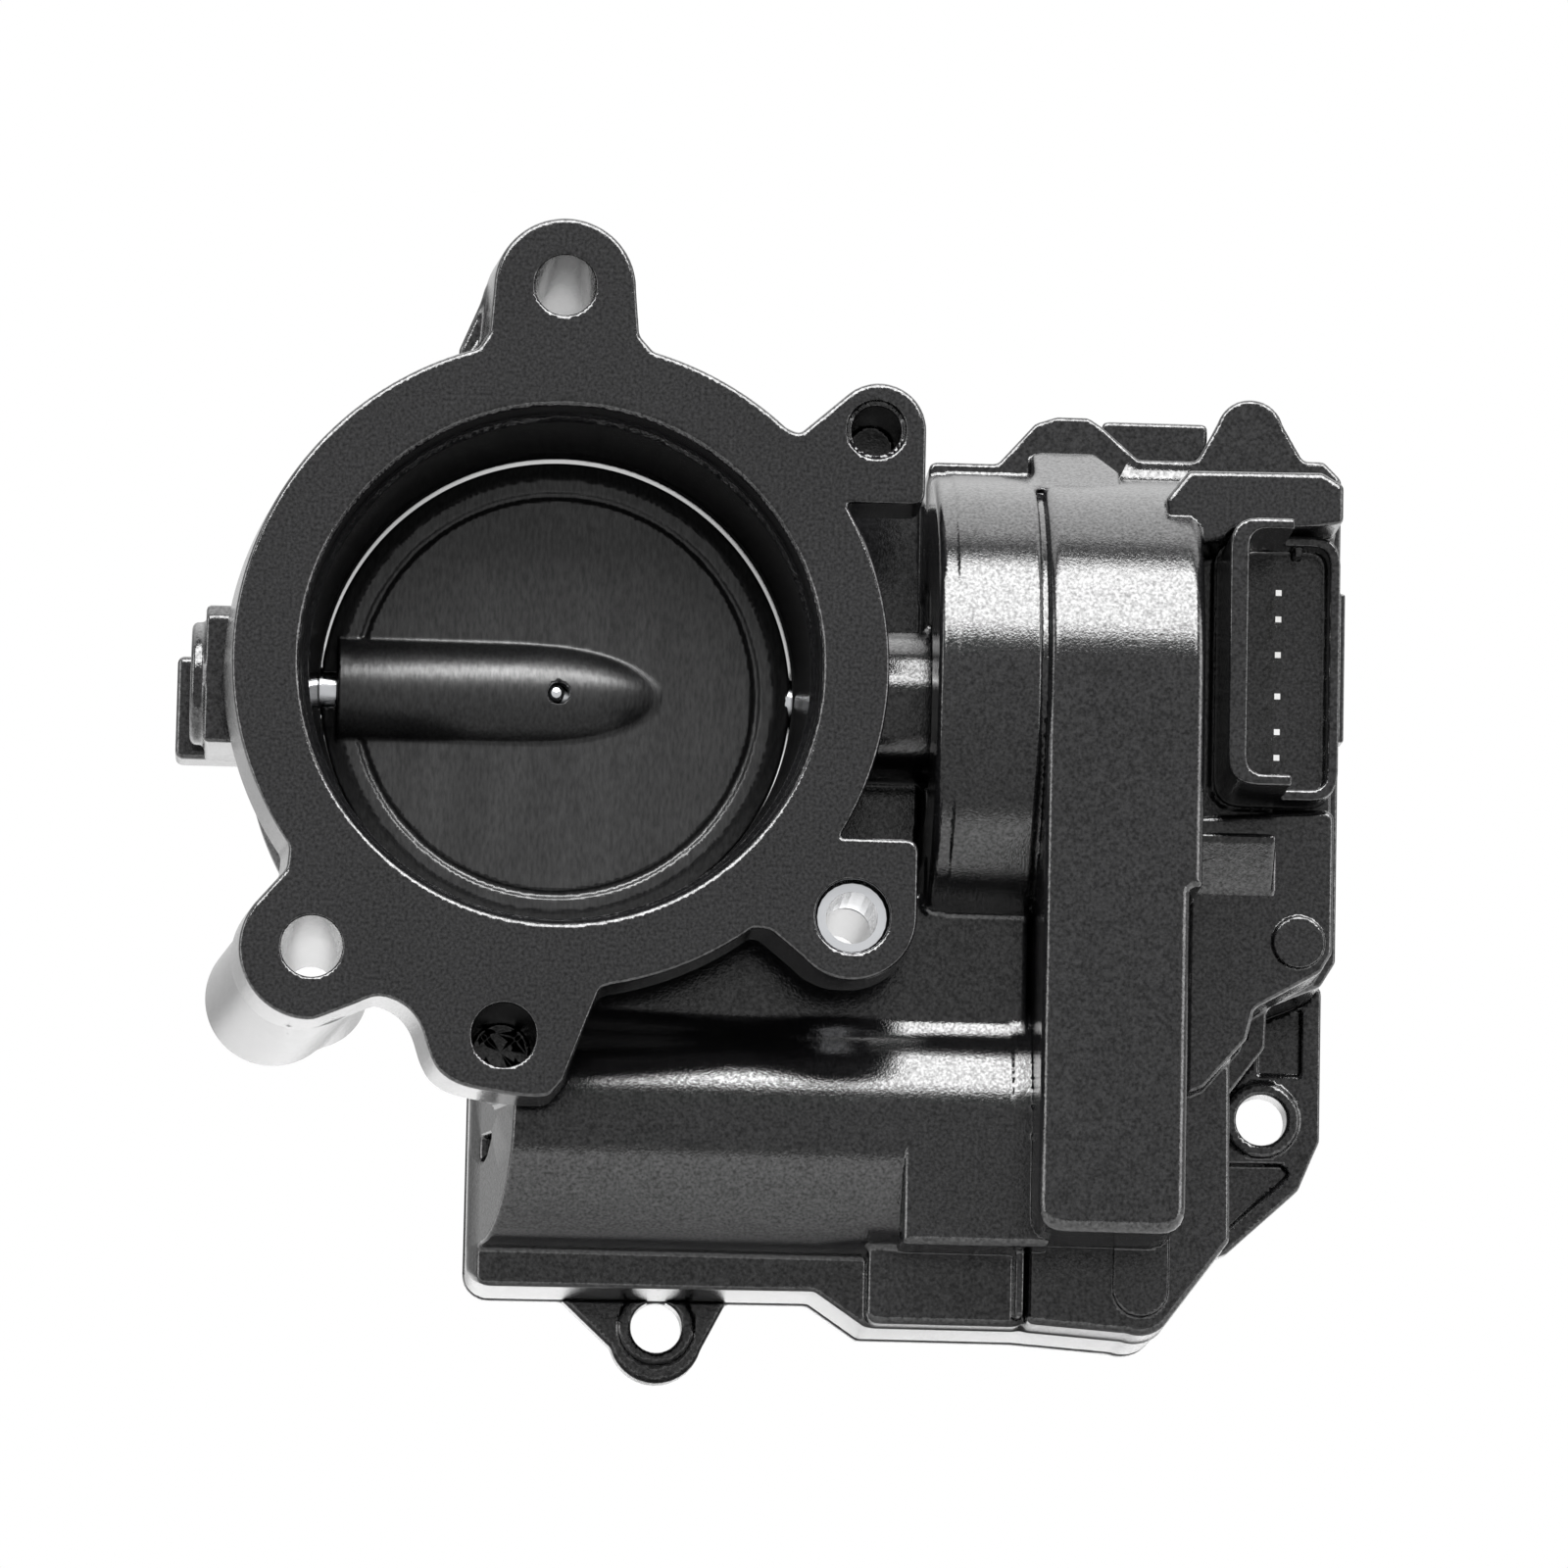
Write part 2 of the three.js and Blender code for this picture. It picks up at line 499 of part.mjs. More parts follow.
// ---- motor --------------------------------------------------------------------------------
const motorRod = (radius, x0, x1, sides = 32) => rodX(SHAFT_Y, MOTOR_Z, radius, x0, x1, sides);

function makeMotorCan() {
  const can = join(motorRod(MOTOR_R, 0, 46, 40), motorRod(3.6, -1.2, 0.5, 20));
  return cut(can, motorRod(MOTOR_R - 1, 1.4, 47, 40));
}

function makeArmature() {
  return cut(motorRod(10, 6, 40, 30), motorRod(1.5, 5, 41, 16));
}

function makeEndBell() {
  const bell = join(motorRod(MOTOR_R, 46.3, 50.3, 40), motorRod(4, 50, 58.4, 20));
  const slots = [-5, 5].map((dz) => box(46, 51, 35.6, 37.2, MOTOR_Z + dz - 1.6, MOTOR_Z + dz + 1.6));
  return cut(bell, motorRod(1.5, 46, 59, 16), ...slots);
}

function makeMotorTerminal(dz) {
  return box(46.7, 62, 36, 36.8, MOTOR_Z + dz - 1.2, MOTOR_Z + dz + 1.2);
}

function makeMotorBracket() {
  const plate = box(51, 52.4, 18.4, 40, MOTOR_Z - 10.6, MOTOR_Z + 10.6)
    .intersect(motorRod(MOTOR_R, 50, 53, 40));
  const slots = [-5, 5].map((dz) => box(50, 53, 35.5, 37.3, MOTOR_Z + dz - 1.7, MOTOR_Z + dz + 1.7));
  const holes = [20.5, 38.2].map((y) => rodX(y, MOTOR_Z, 1.1, 50, 53, 12));
  return cut(plate, motorRod(4.4, 50, 53), ...slots, ...holes);
}

const waveWasher = () => cut(motorRod(12, -1.6, -0.4), motorRod(9, -3, 1));

// ---- springs ------------------------------------------------------------------------------
class Helix extends THREE.Curve {
  constructor(radius, x0, x1, turns) {
    super();
    Object.assign(this, { radius, x0, x1, turns });
  }

  getPoint(share, target = new THREE.Vector3()) {
    const angle = 2 * Math.PI * this.turns * share;
    return target.set(
      this.x0 + (this.x1 - this.x0) * share,
      SHAFT_Y + this.radius * Math.cos(angle),
      this.radius * Math.sin(angle));
  }
}

function makeReturnSpring() {
  const wire = new THREE.Shape(
    circle(0, 0, 1, 6).map(([a, b]) => new THREE.Vector2(a, b)));
  const turns = 3.5;
  const geometry = new THREE.ExtrudeGeometry(wire, {
    extrudePath: new Helix(15, 49.4, 57, turns), steps: turns * 18, bevelEnabled: false,
  });
  return solidOf(geometry);
}

// ---- sensor and connector -----------------------------------------------------------------
const CONNECTOR_FRONT = 2; // the half of the shroud beside the gear case
const CONNECTOR_STEP = 14; // the outer half is shorter
const CONNECTOR_SPLIT_X = 86.8;
const PIN_ROW_X = 85.6;
const PIN_HEIGHTS = [12.1, 8.9, 4.6, -0.4, -4.7, -7.8];

function makeConnector() {
  const { x, z, wall } = SHROUD;
  const outside = prismY(roundedBox(x[0], x[1], z[0], z[1], 3), CONNECTOR_FRONT, 20.7);
  const inside = prismY(
    roundedBox(x[0] + 2 * wall - 0.4, x[1] - wall, z[0] + wall, z[1] - wall, 2), 0, 18.4);
  const shortSide = box(CONNECTOR_SPLIT_X, 100, 0, CONNECTOR_STEP, -20, 30);
  const latches = join(
    box(x[1] - 0.3, x[1] + 0.7, CONNECTOR_STEP + 1, 19, -4.8, 13.2),
    box(88, 89, CONNECTOR_STEP + 1, 18.6, z[1] - 2.4, z[1] - 0.5));
  const neck = prismY(roundedBox(NECK.x[0], NECK.x[1], NECK.z[0], NECK.z[1], 1.5), 20.5, 31.4);
  const slot = box(PIN_ROW_X - 0.7, PIN_ROW_X + 0.7, 17, 33, -9, 13.2);
  return cut(join(cut(outside, inside, shortSide), latches, neck), slot);
}

function makeTerminal(z) {
  const half = 0.35;
  return join(
    box(PIN_ROW_X - half, PIN_ROW_X + half, 9, 33, z - half, z + half),
    box(73.9, PIN_ROW_X + half, 32, 33, z - half, z + half));
}

const makeBoard = () => box(72.4, 73.5, 14, 42, -11, 16);
const makeChip = () => box(71, 72.1, SHAFT_Y - 3, SHAFT_Y + 3, -3, 3);

// ---- assembly -----------------------------------------------------------------------------
const assembly = new THREE.Group();

function place(name, solid, material, group = assembly) {
  const mesh = new THREE.Mesh(geometryOf(solid), material);
  mesh.name = name;
  group.add(mesh);
}

place('throttle_housing', makeHousing(), BLACK_PLASTIC);
place('cover_gasket', makeGasket(), RUBBER);
place('rear_cover', makeCover(), BLACK_PLASTIC);
COVER_SCREWS.forEach(([x, z], i) => place(`cover_screw_${i + 1}`, makeCoverScrew(x, z), ZINC));

const { x: sleeveX, z: sleeveZ } = HOLES.lowerRight;
place('flange_sleeve',
  cut(rodY(sleeveX, sleeveZ, 4.1, 2.2, 16.7), rodY(sleeveX, sleeveZ, 3.1, 1, 18)), STEEL);

// The closed plate leans a little about the shaft, so it and its pin sit in a turned group.
const leaning = new THREE.Group();
leaning.position.set(0, SHAFT_Y, 0);
leaning.rotation.x = radians(CLOSED_TILT);
const plateGroup = new THREE.Group();
plateGroup.position.set(0, -SHAFT_Y, 0);
leaning.add(plateGroup);
assembly.add(leaning);
place('throttle_plate', makePlate(), DARK_PLASTIC, plateGroup);
place('plate_pin', makePlatePin(), STEEL, plateGroup);
place('throttle_shaft', makeShaft(), STEEL, plateGroup);

place('left_bearing', ringX(5, SHAFT_R + 0.2, -41, -35.6), STEEL);
place('left_shaft_seal', ringX(5, SHAFT_R + 0.3, -35.2, -33.7), RUBBER);
place('bearing_plug', rodX(SHAFT_Y, 0, 5, -43.6, -41.4), DARK_PLASTIC);
place('right_shaft_seal', ringX(6.7, SHAFT_BIG_R + 0.3, 39, 40.6), RUBBER);
place('right_bearing', ringX(6.7, SHAFT_BIG_R + 0.2, 41, 46.8), STEEL);
place('spring_guide', cut(
  join(rodX(SHAFT_Y, 0, 11.6, 48, 57.6, 32), rodX(SHAFT_Y, 0, 13, 47.6, 48.6, 32)),
  rodX(SHAFT_Y, 0, SHAFT_BIG_R + 0.5, 47, 58)), DARK_PLASTIC);
place('return_spring', makeReturnSpring(), SPRING_STEEL);

place('sector_gear', makeSectorGear(), GEAR_PLASTIC);
place('sensor_magnet', rodX(SHAFT_Y, 0, 4.7, 68.6, 70.3), MAGNET);
place('idler_gear', makeIdlerGear(), GEAR_PLASTIC);
place('idler_axle', rodX(IDLER.y, IDLER.z, 1.5, 52.3, 72.6, 16), STEEL);

place('motor_can', makeMotorCan(), ZINC);
place('motor_armature', makeArmature(), SPRING_STEEL);
place('motor_shaft', motorRod(1.2, 3, 70.6, 16), STEEL);
place('motor_pinion', makePinion(), BRASS);
place('motor_end_bell', makeEndBell(), DARK_PLASTIC);
place('motor_bracket', makeMotorBracket(), ZINC);
place('motor_wave_washer', waveWasher(), SPRING_STEEL);
[-5, 5].forEach((dz, i) => place(`motor_terminal_${i + 1}`, makeMotorTerminal(dz), BRASS));
[20.5, 38.2].forEach((y, i) => place(
  `motor_screw_${i + 1}`,
  join(rodX(y, MOTOR_Z, 0.8, 50.7, 53, 12), rodX(y, MOTOR_Z, 1.6, 52.7, 53.9, 12)), ZINC));

place('connector_shell', makeConnector(), BLACK_PLASTIC);
PIN_HEIGHTS.forEach((z, i) => place(`connector_pin_${i + 1}`, makeTerminal(z), BRASS));
place('sensor_board', makeBoard(), BOARD_GREEN);
place('sensor_chip', makeChip(), DARK_PLASTIC);

export default assembly;
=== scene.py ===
# Looks of an electronic throttle body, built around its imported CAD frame.
# The moulded pieces are modelled as distance fields with filleted edges and meshed here; the
# field units are millimetres in the CAD frame: +Y along the air bore, +Z up, +X to the gear case.
import json
import math

import bpy
import numpy as np
from mathutils import Matrix, Vector


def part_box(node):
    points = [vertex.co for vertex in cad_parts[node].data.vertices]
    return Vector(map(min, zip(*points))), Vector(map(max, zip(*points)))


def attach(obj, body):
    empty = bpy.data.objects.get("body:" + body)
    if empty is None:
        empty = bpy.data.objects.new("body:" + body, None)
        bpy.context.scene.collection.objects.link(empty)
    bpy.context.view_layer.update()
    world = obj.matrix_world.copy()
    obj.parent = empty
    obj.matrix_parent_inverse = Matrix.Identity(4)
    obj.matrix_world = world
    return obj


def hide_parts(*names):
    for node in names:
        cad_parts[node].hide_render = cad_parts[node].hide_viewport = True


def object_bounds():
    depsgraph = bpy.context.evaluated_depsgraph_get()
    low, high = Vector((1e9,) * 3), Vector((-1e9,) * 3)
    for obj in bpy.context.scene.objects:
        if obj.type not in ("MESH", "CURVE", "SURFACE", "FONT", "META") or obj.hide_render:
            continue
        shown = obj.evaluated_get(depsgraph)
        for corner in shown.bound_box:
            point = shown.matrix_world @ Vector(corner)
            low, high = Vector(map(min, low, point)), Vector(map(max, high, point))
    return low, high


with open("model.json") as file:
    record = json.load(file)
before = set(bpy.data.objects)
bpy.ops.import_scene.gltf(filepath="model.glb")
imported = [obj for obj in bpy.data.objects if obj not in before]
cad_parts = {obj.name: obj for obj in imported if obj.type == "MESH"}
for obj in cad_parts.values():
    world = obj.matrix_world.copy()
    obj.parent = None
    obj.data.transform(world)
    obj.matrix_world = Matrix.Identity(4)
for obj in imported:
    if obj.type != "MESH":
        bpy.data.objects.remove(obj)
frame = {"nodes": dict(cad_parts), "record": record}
CAD_BOX = [list(corner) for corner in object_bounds()]
MM = 0.001


# ---- sizes taken from the frame -----------------------------------------------------------------
def span(node):
    """Lowest and highest corner of a CAD node, in millimetres."""
    low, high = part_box(node)
    return np.array(low) / MM, np.array(high) / MM


def middle(node):
    """Middle of a CAD node's box, in millimetres."""
    low, high = span(node)
    return (low + high) / 2


HOUSING_LOW, HOUSING_HIGH = span("throttle_housing")
COVER_REAR_Y = float(span("rear_cover")[1][1])
SHAFT_Y = float(middle("throttle_shaft")[1])
MOTOR_Z = float(middle("motor_shaft")[2])
INLET_Y = float(HOUSING_HIGH[1])
IDLER_Y, IDLER_Z = (float(value) for value in middle("idler_axle")[1:])
GASKET_Y = [float(corner[1]) for corner in span("cover_gasket")]
GASKET_GAP = 0.3
JOINT_Y = GASKET_Y[0] - GASKET_GAP  # rear face of the housing
COVER_Y = GASKET_Y[1] + GASKET_GAP  # front face of the cover
SCREWS = [middle(f"cover_screw_{i}")[[0, 2]] for i in range(1, 7)]
SLEEVE = middle("flange_sleeve")
SHROUD_LOW, SHROUD_HIGH = span("connector_shell")
PLATE_TILT = math.radians(3)

BORE_R = 28.65  # air bore just in front of the land
LAND_R = 28.42  # narrow band round the closed plate
MOUTH_R = 30.7  # bore at the flange face
INLET_R = 31.5  # bore at the far end of the tube
TUBE_R = 35
RING_R = 38.8  # round part of the flange
FLANGE_T = 11
WALL = 2.3
DRUM_R = 28.4
DRUM_INNER_R = DRUM_R - WALL - 0.2
BARREL_R = 15.1
BARREL_LEFT = -8.6
MOTOR_BAY_R = 12.8
MOTOR_BAY_X = (-2.2, 56.5)
RIM_Y = 29  # front of the rim that carries the cover
WEB_Y = 18.7  # front of the web between tube and gear case
COLUMN_Y = (8, 44)  # the long screw columns behind the flange
COVER_T = 2.6
SCREW_HOLE_R = 2.1


# ---- distance fields ----------------------------------------------------------------------------
FAR = 60.0  # the distance where nothing is near
REACH = 5.0  # a shape whose box is further away than this is skipped


def arc(centre_a, centre_b, radius, start, end, steps):
    """Points on an arc, from one angle to another in degrees."""
    angles = np.radians(np.linspace(start, end, steps + 1))
    return [(centre_a + radius * math.cos(t), centre_b + radius * math.sin(t)) for t in angles]


def rounded_corners(points, radius):
    """The outline with each sharp corner replaced by an arc, as far as its two sides allow."""
    if radius == 0:
        return np.array(points, float)
    points = np.array(points, float)
    nearly_straight = math.radians(165)
    most_of_a_side = 0.45
    result = []
    for before, corner, after in zip(np.roll(points, 1, 0), points, np.roll(points, -1, 0)):
        a, b = before - corner, after - corner
        length_a, length_b = np.linalg.norm(a), np.linalg.norm(b)
        a, b = a / length_a, b / length_b
        opening = math.acos(float(np.clip(a @ b, -1, 1)))
        if opening > nearly_straight:
            result.append(corner)
            continue
        reach = min(radius / math.tan(opening / 2), most_of_a_side * min(length_a, length_b))
        for share in np.linspace(0, 1, 6):
            first, second = corner + a * reach * (1 - share), corner + b * reach * share
            result.append(first * (1 - share) + second * share)
    return np.array(result)


class Outline:
    """A closed outline in a plane. Its signed distance is worked out once, on a fine grid."""

    CELL = 0.2
    MARGIN = REACH + 1

    def __init__(self, points, soften=0.0):
        points = rounded_corners(points, soften)
        self.low, self.high = points.min(0), points.max(0)
        self.start = self.low - self.MARGIN
        self.count = np.ceil((self.high + self.MARGIN - self.start) / self.CELL).astype(int) + 1
        axes = [self.start[i] + self.CELL * np.arange(self.count[i]) for i in (0, 1)]
        u, v = np.meshgrid(*axes, indexing="ij")
        nearest = np.full(u.shape, FAR * FAR)
        inside = np.zeros(u.shape, bool)
        for (au, av), (bu, bv) in zip(points, np.roll(points, -1, 0)):
            eu, ev = bu - au, bv - av
            along = ((u - au) * eu + (v - av) * ev) / max(eu * eu + ev * ev, 1e-12)
            along = np.clip(along, 0, 1)
            nearest = np.minimum(nearest, (u - au - along * eu) ** 2 + (v - av - along * ev) ** 2)
            if av != bv:
                crossed = ((av > v) != (bv > v)) & (u < eu * (v - av) / ev + au)
                inside ^= crossed
        self.grid = np.where(inside, -1, 1) * np.sqrt(nearest)

    def distance(self, u, v):
        """Signed distance to the outline, read off the grid; negative inside."""
        places, outside = [], 0
        for axis, value in enumerate((u, v)):
            place = (value - self.start[axis]) / self.CELL
            held = np.clip(place, 0, self.count[axis] - 1.001)
            outside = outside + ((place - held) * self.CELL) ** 2
            places.append(held)
        i, j = (place.astype(int) for place in places)
        s, t = places[0] - i, places[1] - j
        g = self.grid
        near = g[i, j] * (1 - s) * (1 - t) + g[i + 1, j] * s * (1 - t)
        near += g[i, j + 1] * (1 - s) * t + g[i + 1, j + 1] * s * t
        return near + np.sqrt(outside)


def join(a, b, fillet):
    """The two solids as one, with a round fillet in the corner between them."""
    if fillet == 0:
        return np.minimum(a, b)
    corner = np.hypot(np.maximum(fillet - a, 0), np.maximum(fillet - b, 0))
    return np.maximum(fillet, np.minimum(a, b)) - corner


def meet(a, b, edge):
    """What the two solids share, with its edges rounded."""
    return -join(-a, -b, edge)


class Shape:
    """A simple solid: its distance function and the box that holds it."""

    def __init__(self, low, high, distance):
        self.low, self.high, self.distance = np.array(low, float), np.array(high, float), distance


def prism_y(outline, y0, y1, edge=0.5):
    """An outline in X and Z, extruded along Y."""
    centre, half = (y0 + y1) / 2, (y1 - y0) / 2
    return Shape(
        (outline.low[0], y0, outline.low[1]), (outline.high[0], y1, outline.high[1]),
        lambda x, y, z: meet(outline.distance(x, z), np.abs(y - centre) - half, edge))


def prism_x(outline, x0, x1, edge=0.5):
    """An outline in Y and Z, extruded along X."""
    centre, half = (x0 + x1) / 2, (x1 - x0) / 2
    return Shape(
        (x0, *outline.low), (x1, *outline.high),
        lambda x, y, z: meet(outline.distance(y, z), np.abs(x - centre) - half, edge))


def prism_z(outline, z0, z1, edge=0.5):
    """An outline in X and Y, extruded along Z."""
    centre, half = (z0 + z1) / 2, (z1 - z0) / 2
    return Shape(
        (*outline.low, z0), (*outline.high, z1),
        lambda x, y, z: meet(outline.distance(x, y), np.abs(z - centre) - half, edge))


def leaning(shape, lean_x, lean_z, y0):
    """The shape sheared along Y, so that its sides lean toward -X and -Z behind y0."""
    reach = np.array((abs(lean_x), 0, abs(lean_z))) * (shape.high[1] - y0)
    return Shape(
        shape.low - reach, shape.high,
        lambda x, y, z: shape.distance(x + lean_x * (y - y0), y, z + lean_z * (y - y0)))


def smooth(points, steps=5):
    """A curve through the points; the first and last only steer its ends."""
    points, curve = np.array(points, float), []
    for a, b, c, d in zip(points, points[1:], points[2:], points[3:]):
        for t in np.linspace(0, 1, steps, endpoint=False):
            curve.append(tuple(0.5 * (2 * b + (c - a) * t + (2 * a - 5 * b + 4 * c - d) * t * t
                                      + (3 * b - a - 3 * c + d) * t ** 3)))
    return curve


def rod_x(y0, z0, radius, x0, x1, edge=0.4):
    """A round rod along X."""
    centre, half = (x0 + x1) / 2, (x1 - x0) / 2
    return Shape(
        (x0, y0 - radius, z0 - radius), (x1, y0 + radius, z0 + radius),
        lambda x, y, z: meet(np.hypot(y - y0, z - z0) - radius, np.abs(x - centre) - half, edge))


def rod_y(x0, z0, radius, y0, y1, edge=0.4):
    """A round rod along Y."""
    centre, half = (y0 + y1) / 2, (y1 - y0) / 2
    return Shape(
        (x0 - radius, y0, z0 - radius), (x0 + radius, y1, z0 + radius),
        lambda x, y, z: meet(np.hypot(x - x0, z - z0) - radius, np.abs(y - centre) - half, edge))


def block(x0, x1, y0, y1, z0, z1, edge=0.4):
    """A box with round edges."""
    centre = [(x0 + x1) / 2, (y0 + y1) / 2, (z0 + z1) / 2]
    half = [(x1 - x0) / 2 - edge, (y1 - y0) / 2 - edge, (z1 - z0) / 2 - edge]

    def distance(x, y, z):
        a, b, c = (np.abs(value - m) - h for value, m, h in zip((x, y, z), centre, half))
        outer = np.sqrt(np.maximum(a, 0) ** 2 + np.maximum(b, 0) ** 2 + np.maximum(c, 0) ** 2)
        return outer + np.minimum(np.maximum(np.maximum(a, b), c), 0) - edge

    return Shape((x0, y0, z0), (x1, y1, z1), distance)


def turned_y(outline, x0=0.0, z0=0.0):
    """A solid of revolution about a line along Y; the outline holds radius and Y.

    An outline that covers its axis reaches past it, to a radius below zero."""
    radius = outline.high[0]
    return Shape(
        (x0 - radius, outline.low[1], z0 - radius), (x0 + radius, outline.high[1], z0 + radius),
        lambda x, y, z: outline.distance(np.hypot(x - x0, z - z0), y))


def turned_x(outline, y0, z0=0.0):
    """A solid of revolution about a line along X; the outline holds radius and X."""
    radius = outline.high[0]
    return Shape(
        (outline.low[1], y0 - radius, z0 - radius), (outline.high[1], y0 + radius, z0 + radius),
        lambda x, y, z: outline.distance(np.hypot(y - y0, z - z0), x))


def ball(x0, y0, z0, radius):
    centre = np.array((x0, y0, z0))
    return Shape(
        centre - radius, centre + radius,
        lambda x, y, z: np.sqrt((x - x0) ** 2 + (y - y0) ** 2 + (z - z0) ** 2) - radius)


def tilted(shape, angle, y0, z0):
    """The shape turned about a line along X."""
    c, s = math.cos(angle), math.sin(angle)
    half = max(abs(shape.low[1] - y0), abs(shape.high[1] - y0), abs(shape.low[2] - z0),
               abs(shape.high[2] - z0)) * 1.5

    def distance(x, y, z):
        dy, dz = y - y0, z - z0
        return shape.distance(x, y0 + c * dy + s * dz, z0 - s * dy + c * dz)

    return Shape((shape.low[0], y0 - half, z0 - half), (shape.high[0], y0 + half, z0 + half), distance)


class Solid:
    """Shapes added to and cut from one another in turn, each with its own fillet or edge."""

    def __init__(self):
        self.steps = []
        self.low, self.high = np.full(3, np.inf), np.full(3, -np.inf)

    def add(self, shape, fillet=0.8):
        self.steps.append(("add", shape, fillet))
        self.low, self.high = np.minimum(self.low, shape.low), np.maximum(self.high, shape.high)
        return self

    def cut(self, shape, edge=0.4):
        self.steps.append(("cut", shape, edge))
        return self

    def keep(self, shape, edge=0.4):
        self.steps.append(("keep", shape, edge))
        return self

    def distance(self, x, y, z):
        """Signed distance to the solid at each point; negative inside."""
        low = np.array([x.min(), y.min(), z.min()]) - REACH
        high = np.array([x.max(), y.max(), z.max()]) + REACH
        result = np.full(x.shape, FAR)
        for kind, shape, radius in self.steps:
            far = np.any(shape.low > high) or np.any(shape.high < low)
            if kind == "keep":
                result = np.maximum(result, 1.0) if far else meet(
                    result, shape.distance(x, y, z), radius)
            elif far:
                continue
            elif kind == "add":
                result = join(result, shape.distance(x, y, z), radius)
            else:
                result = meet(result, -shape.distance(x, y, z), radius)
        return result


# ---- meshing a distance field -------------------------------------------------------------------
TILE = 14  # grid points along a tile's side
CHUNK = 6000  # points whose slope is worked out at a time
CORNERS = [(i, j, k) for i in (0, 1) for j in (0, 1) for k in (0, 1)]
EDGES = [(a, b) for a in range(8) for b in range(a + 1, 8)
         if sum(p != q for p, q in zip(CORNERS[a], CORNERS[b])) == 1]


def sampled(solid, step):
    """The distance at each point of a grid round the solid; tiles far from its skin are coarse."""
    start = solid.low - 2.5 * step
    count = np.ceil((solid.high + 2.5 * step - start) / step).astype(int) + 1
    grid = np.empty(count, np.float32)
    for tile in np.ndindex(*(-(-count // TILE))):
        first = np.array(tile) * TILE
        last = np.minimum(first + TILE, count)
        near, far = start + first * step, start + (last - 1) * step
        centre = (near + far) / 2
        part = tuple(slice(a, b) for a, b in zip(first, last))
        probe = float(solid.distance(*(np.array([value]) for value in centre))[0])
        if abs(probe) > np.linalg.norm(far - near) / 2 + 2 * step:
            grid[part] = probe
            continue
        axes = [start[i] + step * np.arange(first[i], last[i]) for i in range(3)]
        x, y, z = (value.ravel() for value in np.meshgrid(*axes, indexing="ij"))
        grid[part] = solid.distance(x, y, z).reshape(last - first)
    return grid, start


def netted(grid, start, step):
    """Surface nets: one point in each cell that the skin crosses, one quad for each crossed edge."""
    inside = grid < 0
    cells = tuple(n - 1 for n in grid.shape)
    corner = [inside[i:i + cells[0], j:j + cells[1], k:k + cells[2]] for i, j, k in CORNERS]
    crossed = np.logical_or.reduce(corner) & ~np.logical_and.reduce(corner)
    index = np.argwhere(crossed)
    values = [grid[index[:, 0] + i, index[:, 1] + j, index[:, 2] + k] for i, j, k in CORNERS]
    total, hits = np.zeros((len(index), 3)), np.zeros(len(index))
    for a, b in EDGES:
        cut = (values[a] < 0) != (values[b] < 0)
        difference = np.where(cut, values[a] - values[b], 1)
        share = np.where(cut, values[a] / difference, 0)[:, None]
        pa, pb = np.array(CORNERS[a], float), np.array(CORNERS[b], float)
        total += np.where(cut[:, None], pa + share * (pb - pa), 0)
        hits += cut
    points = start + step * (index + total / hits[:, None])

    number = np.full(cells, -1, np.int32)
    number[crossed] = np.arange(len(index))
    quads = []
    for axis in range(3):
        u, v = [(1, 2), (2, 0), (0, 1)][axis]
        low = [slice(1, -1)] * 3
        low[axis] = slice(0, -1)
        high = list(low)
        high[axis] = slice(1, None)
        a, b = inside[tuple(low)], inside[tuple(high)]
        for place, flip in ((np.argwhere(a & ~b), False), (np.argwhere(b & ~a), True)):
            place = place + [0 if i == axis else 1 for i in range(3)]
            du, dv = np.eye(3, dtype=int)[u], np.eye(3, dtype=int)[v]
            ring = [place, place - du, place - du - dv, place - dv]
            quad = np.stack([number[tuple(p.T)] for p in ring], 1)
            quads.append(quad[:, ::-1] if flip else quad)
    return points, np.concatenate(quads)


def gradient(solid, points, reach=0.04):
    """Outward direction of the field at each point, and the distance there."""
    slopes, distances = np.empty((len(points), 3)), np.empty(len(points))
    for first in range(0, len(points), CHUNK):
        part = slice(first, first + CHUNK)
        x, y, z = points[part].T
        for axis in range(3):
            ahead, behind = [x, y, z], [x, y, z]
            ahead[axis] = ahead[axis] + reach
            behind[axis] = behind[axis] - reach
            a, b = solid.distance(*ahead), solid.distance(*behind)
            slopes[part, axis] = (a - b) / (2 * reach)
        distances[part] = solid.distance(x, y, z)
    return slopes, distances


def settled(solid, points, step):
    """Points moved onto the skin along the field's slope."""
    for _ in range(2):
        slopes, distances = gradient(solid, points)
        steep = np.maximum((slopes ** 2).sum(1), 0.25)
        move = slopes * (distances / steep)[:, None]
        length = np.maximum(np.linalg.norm(move, axis=1, keepdims=True), 1e-9)
        points = points - move * np.minimum(1, 0.6 * step / length)
    return points


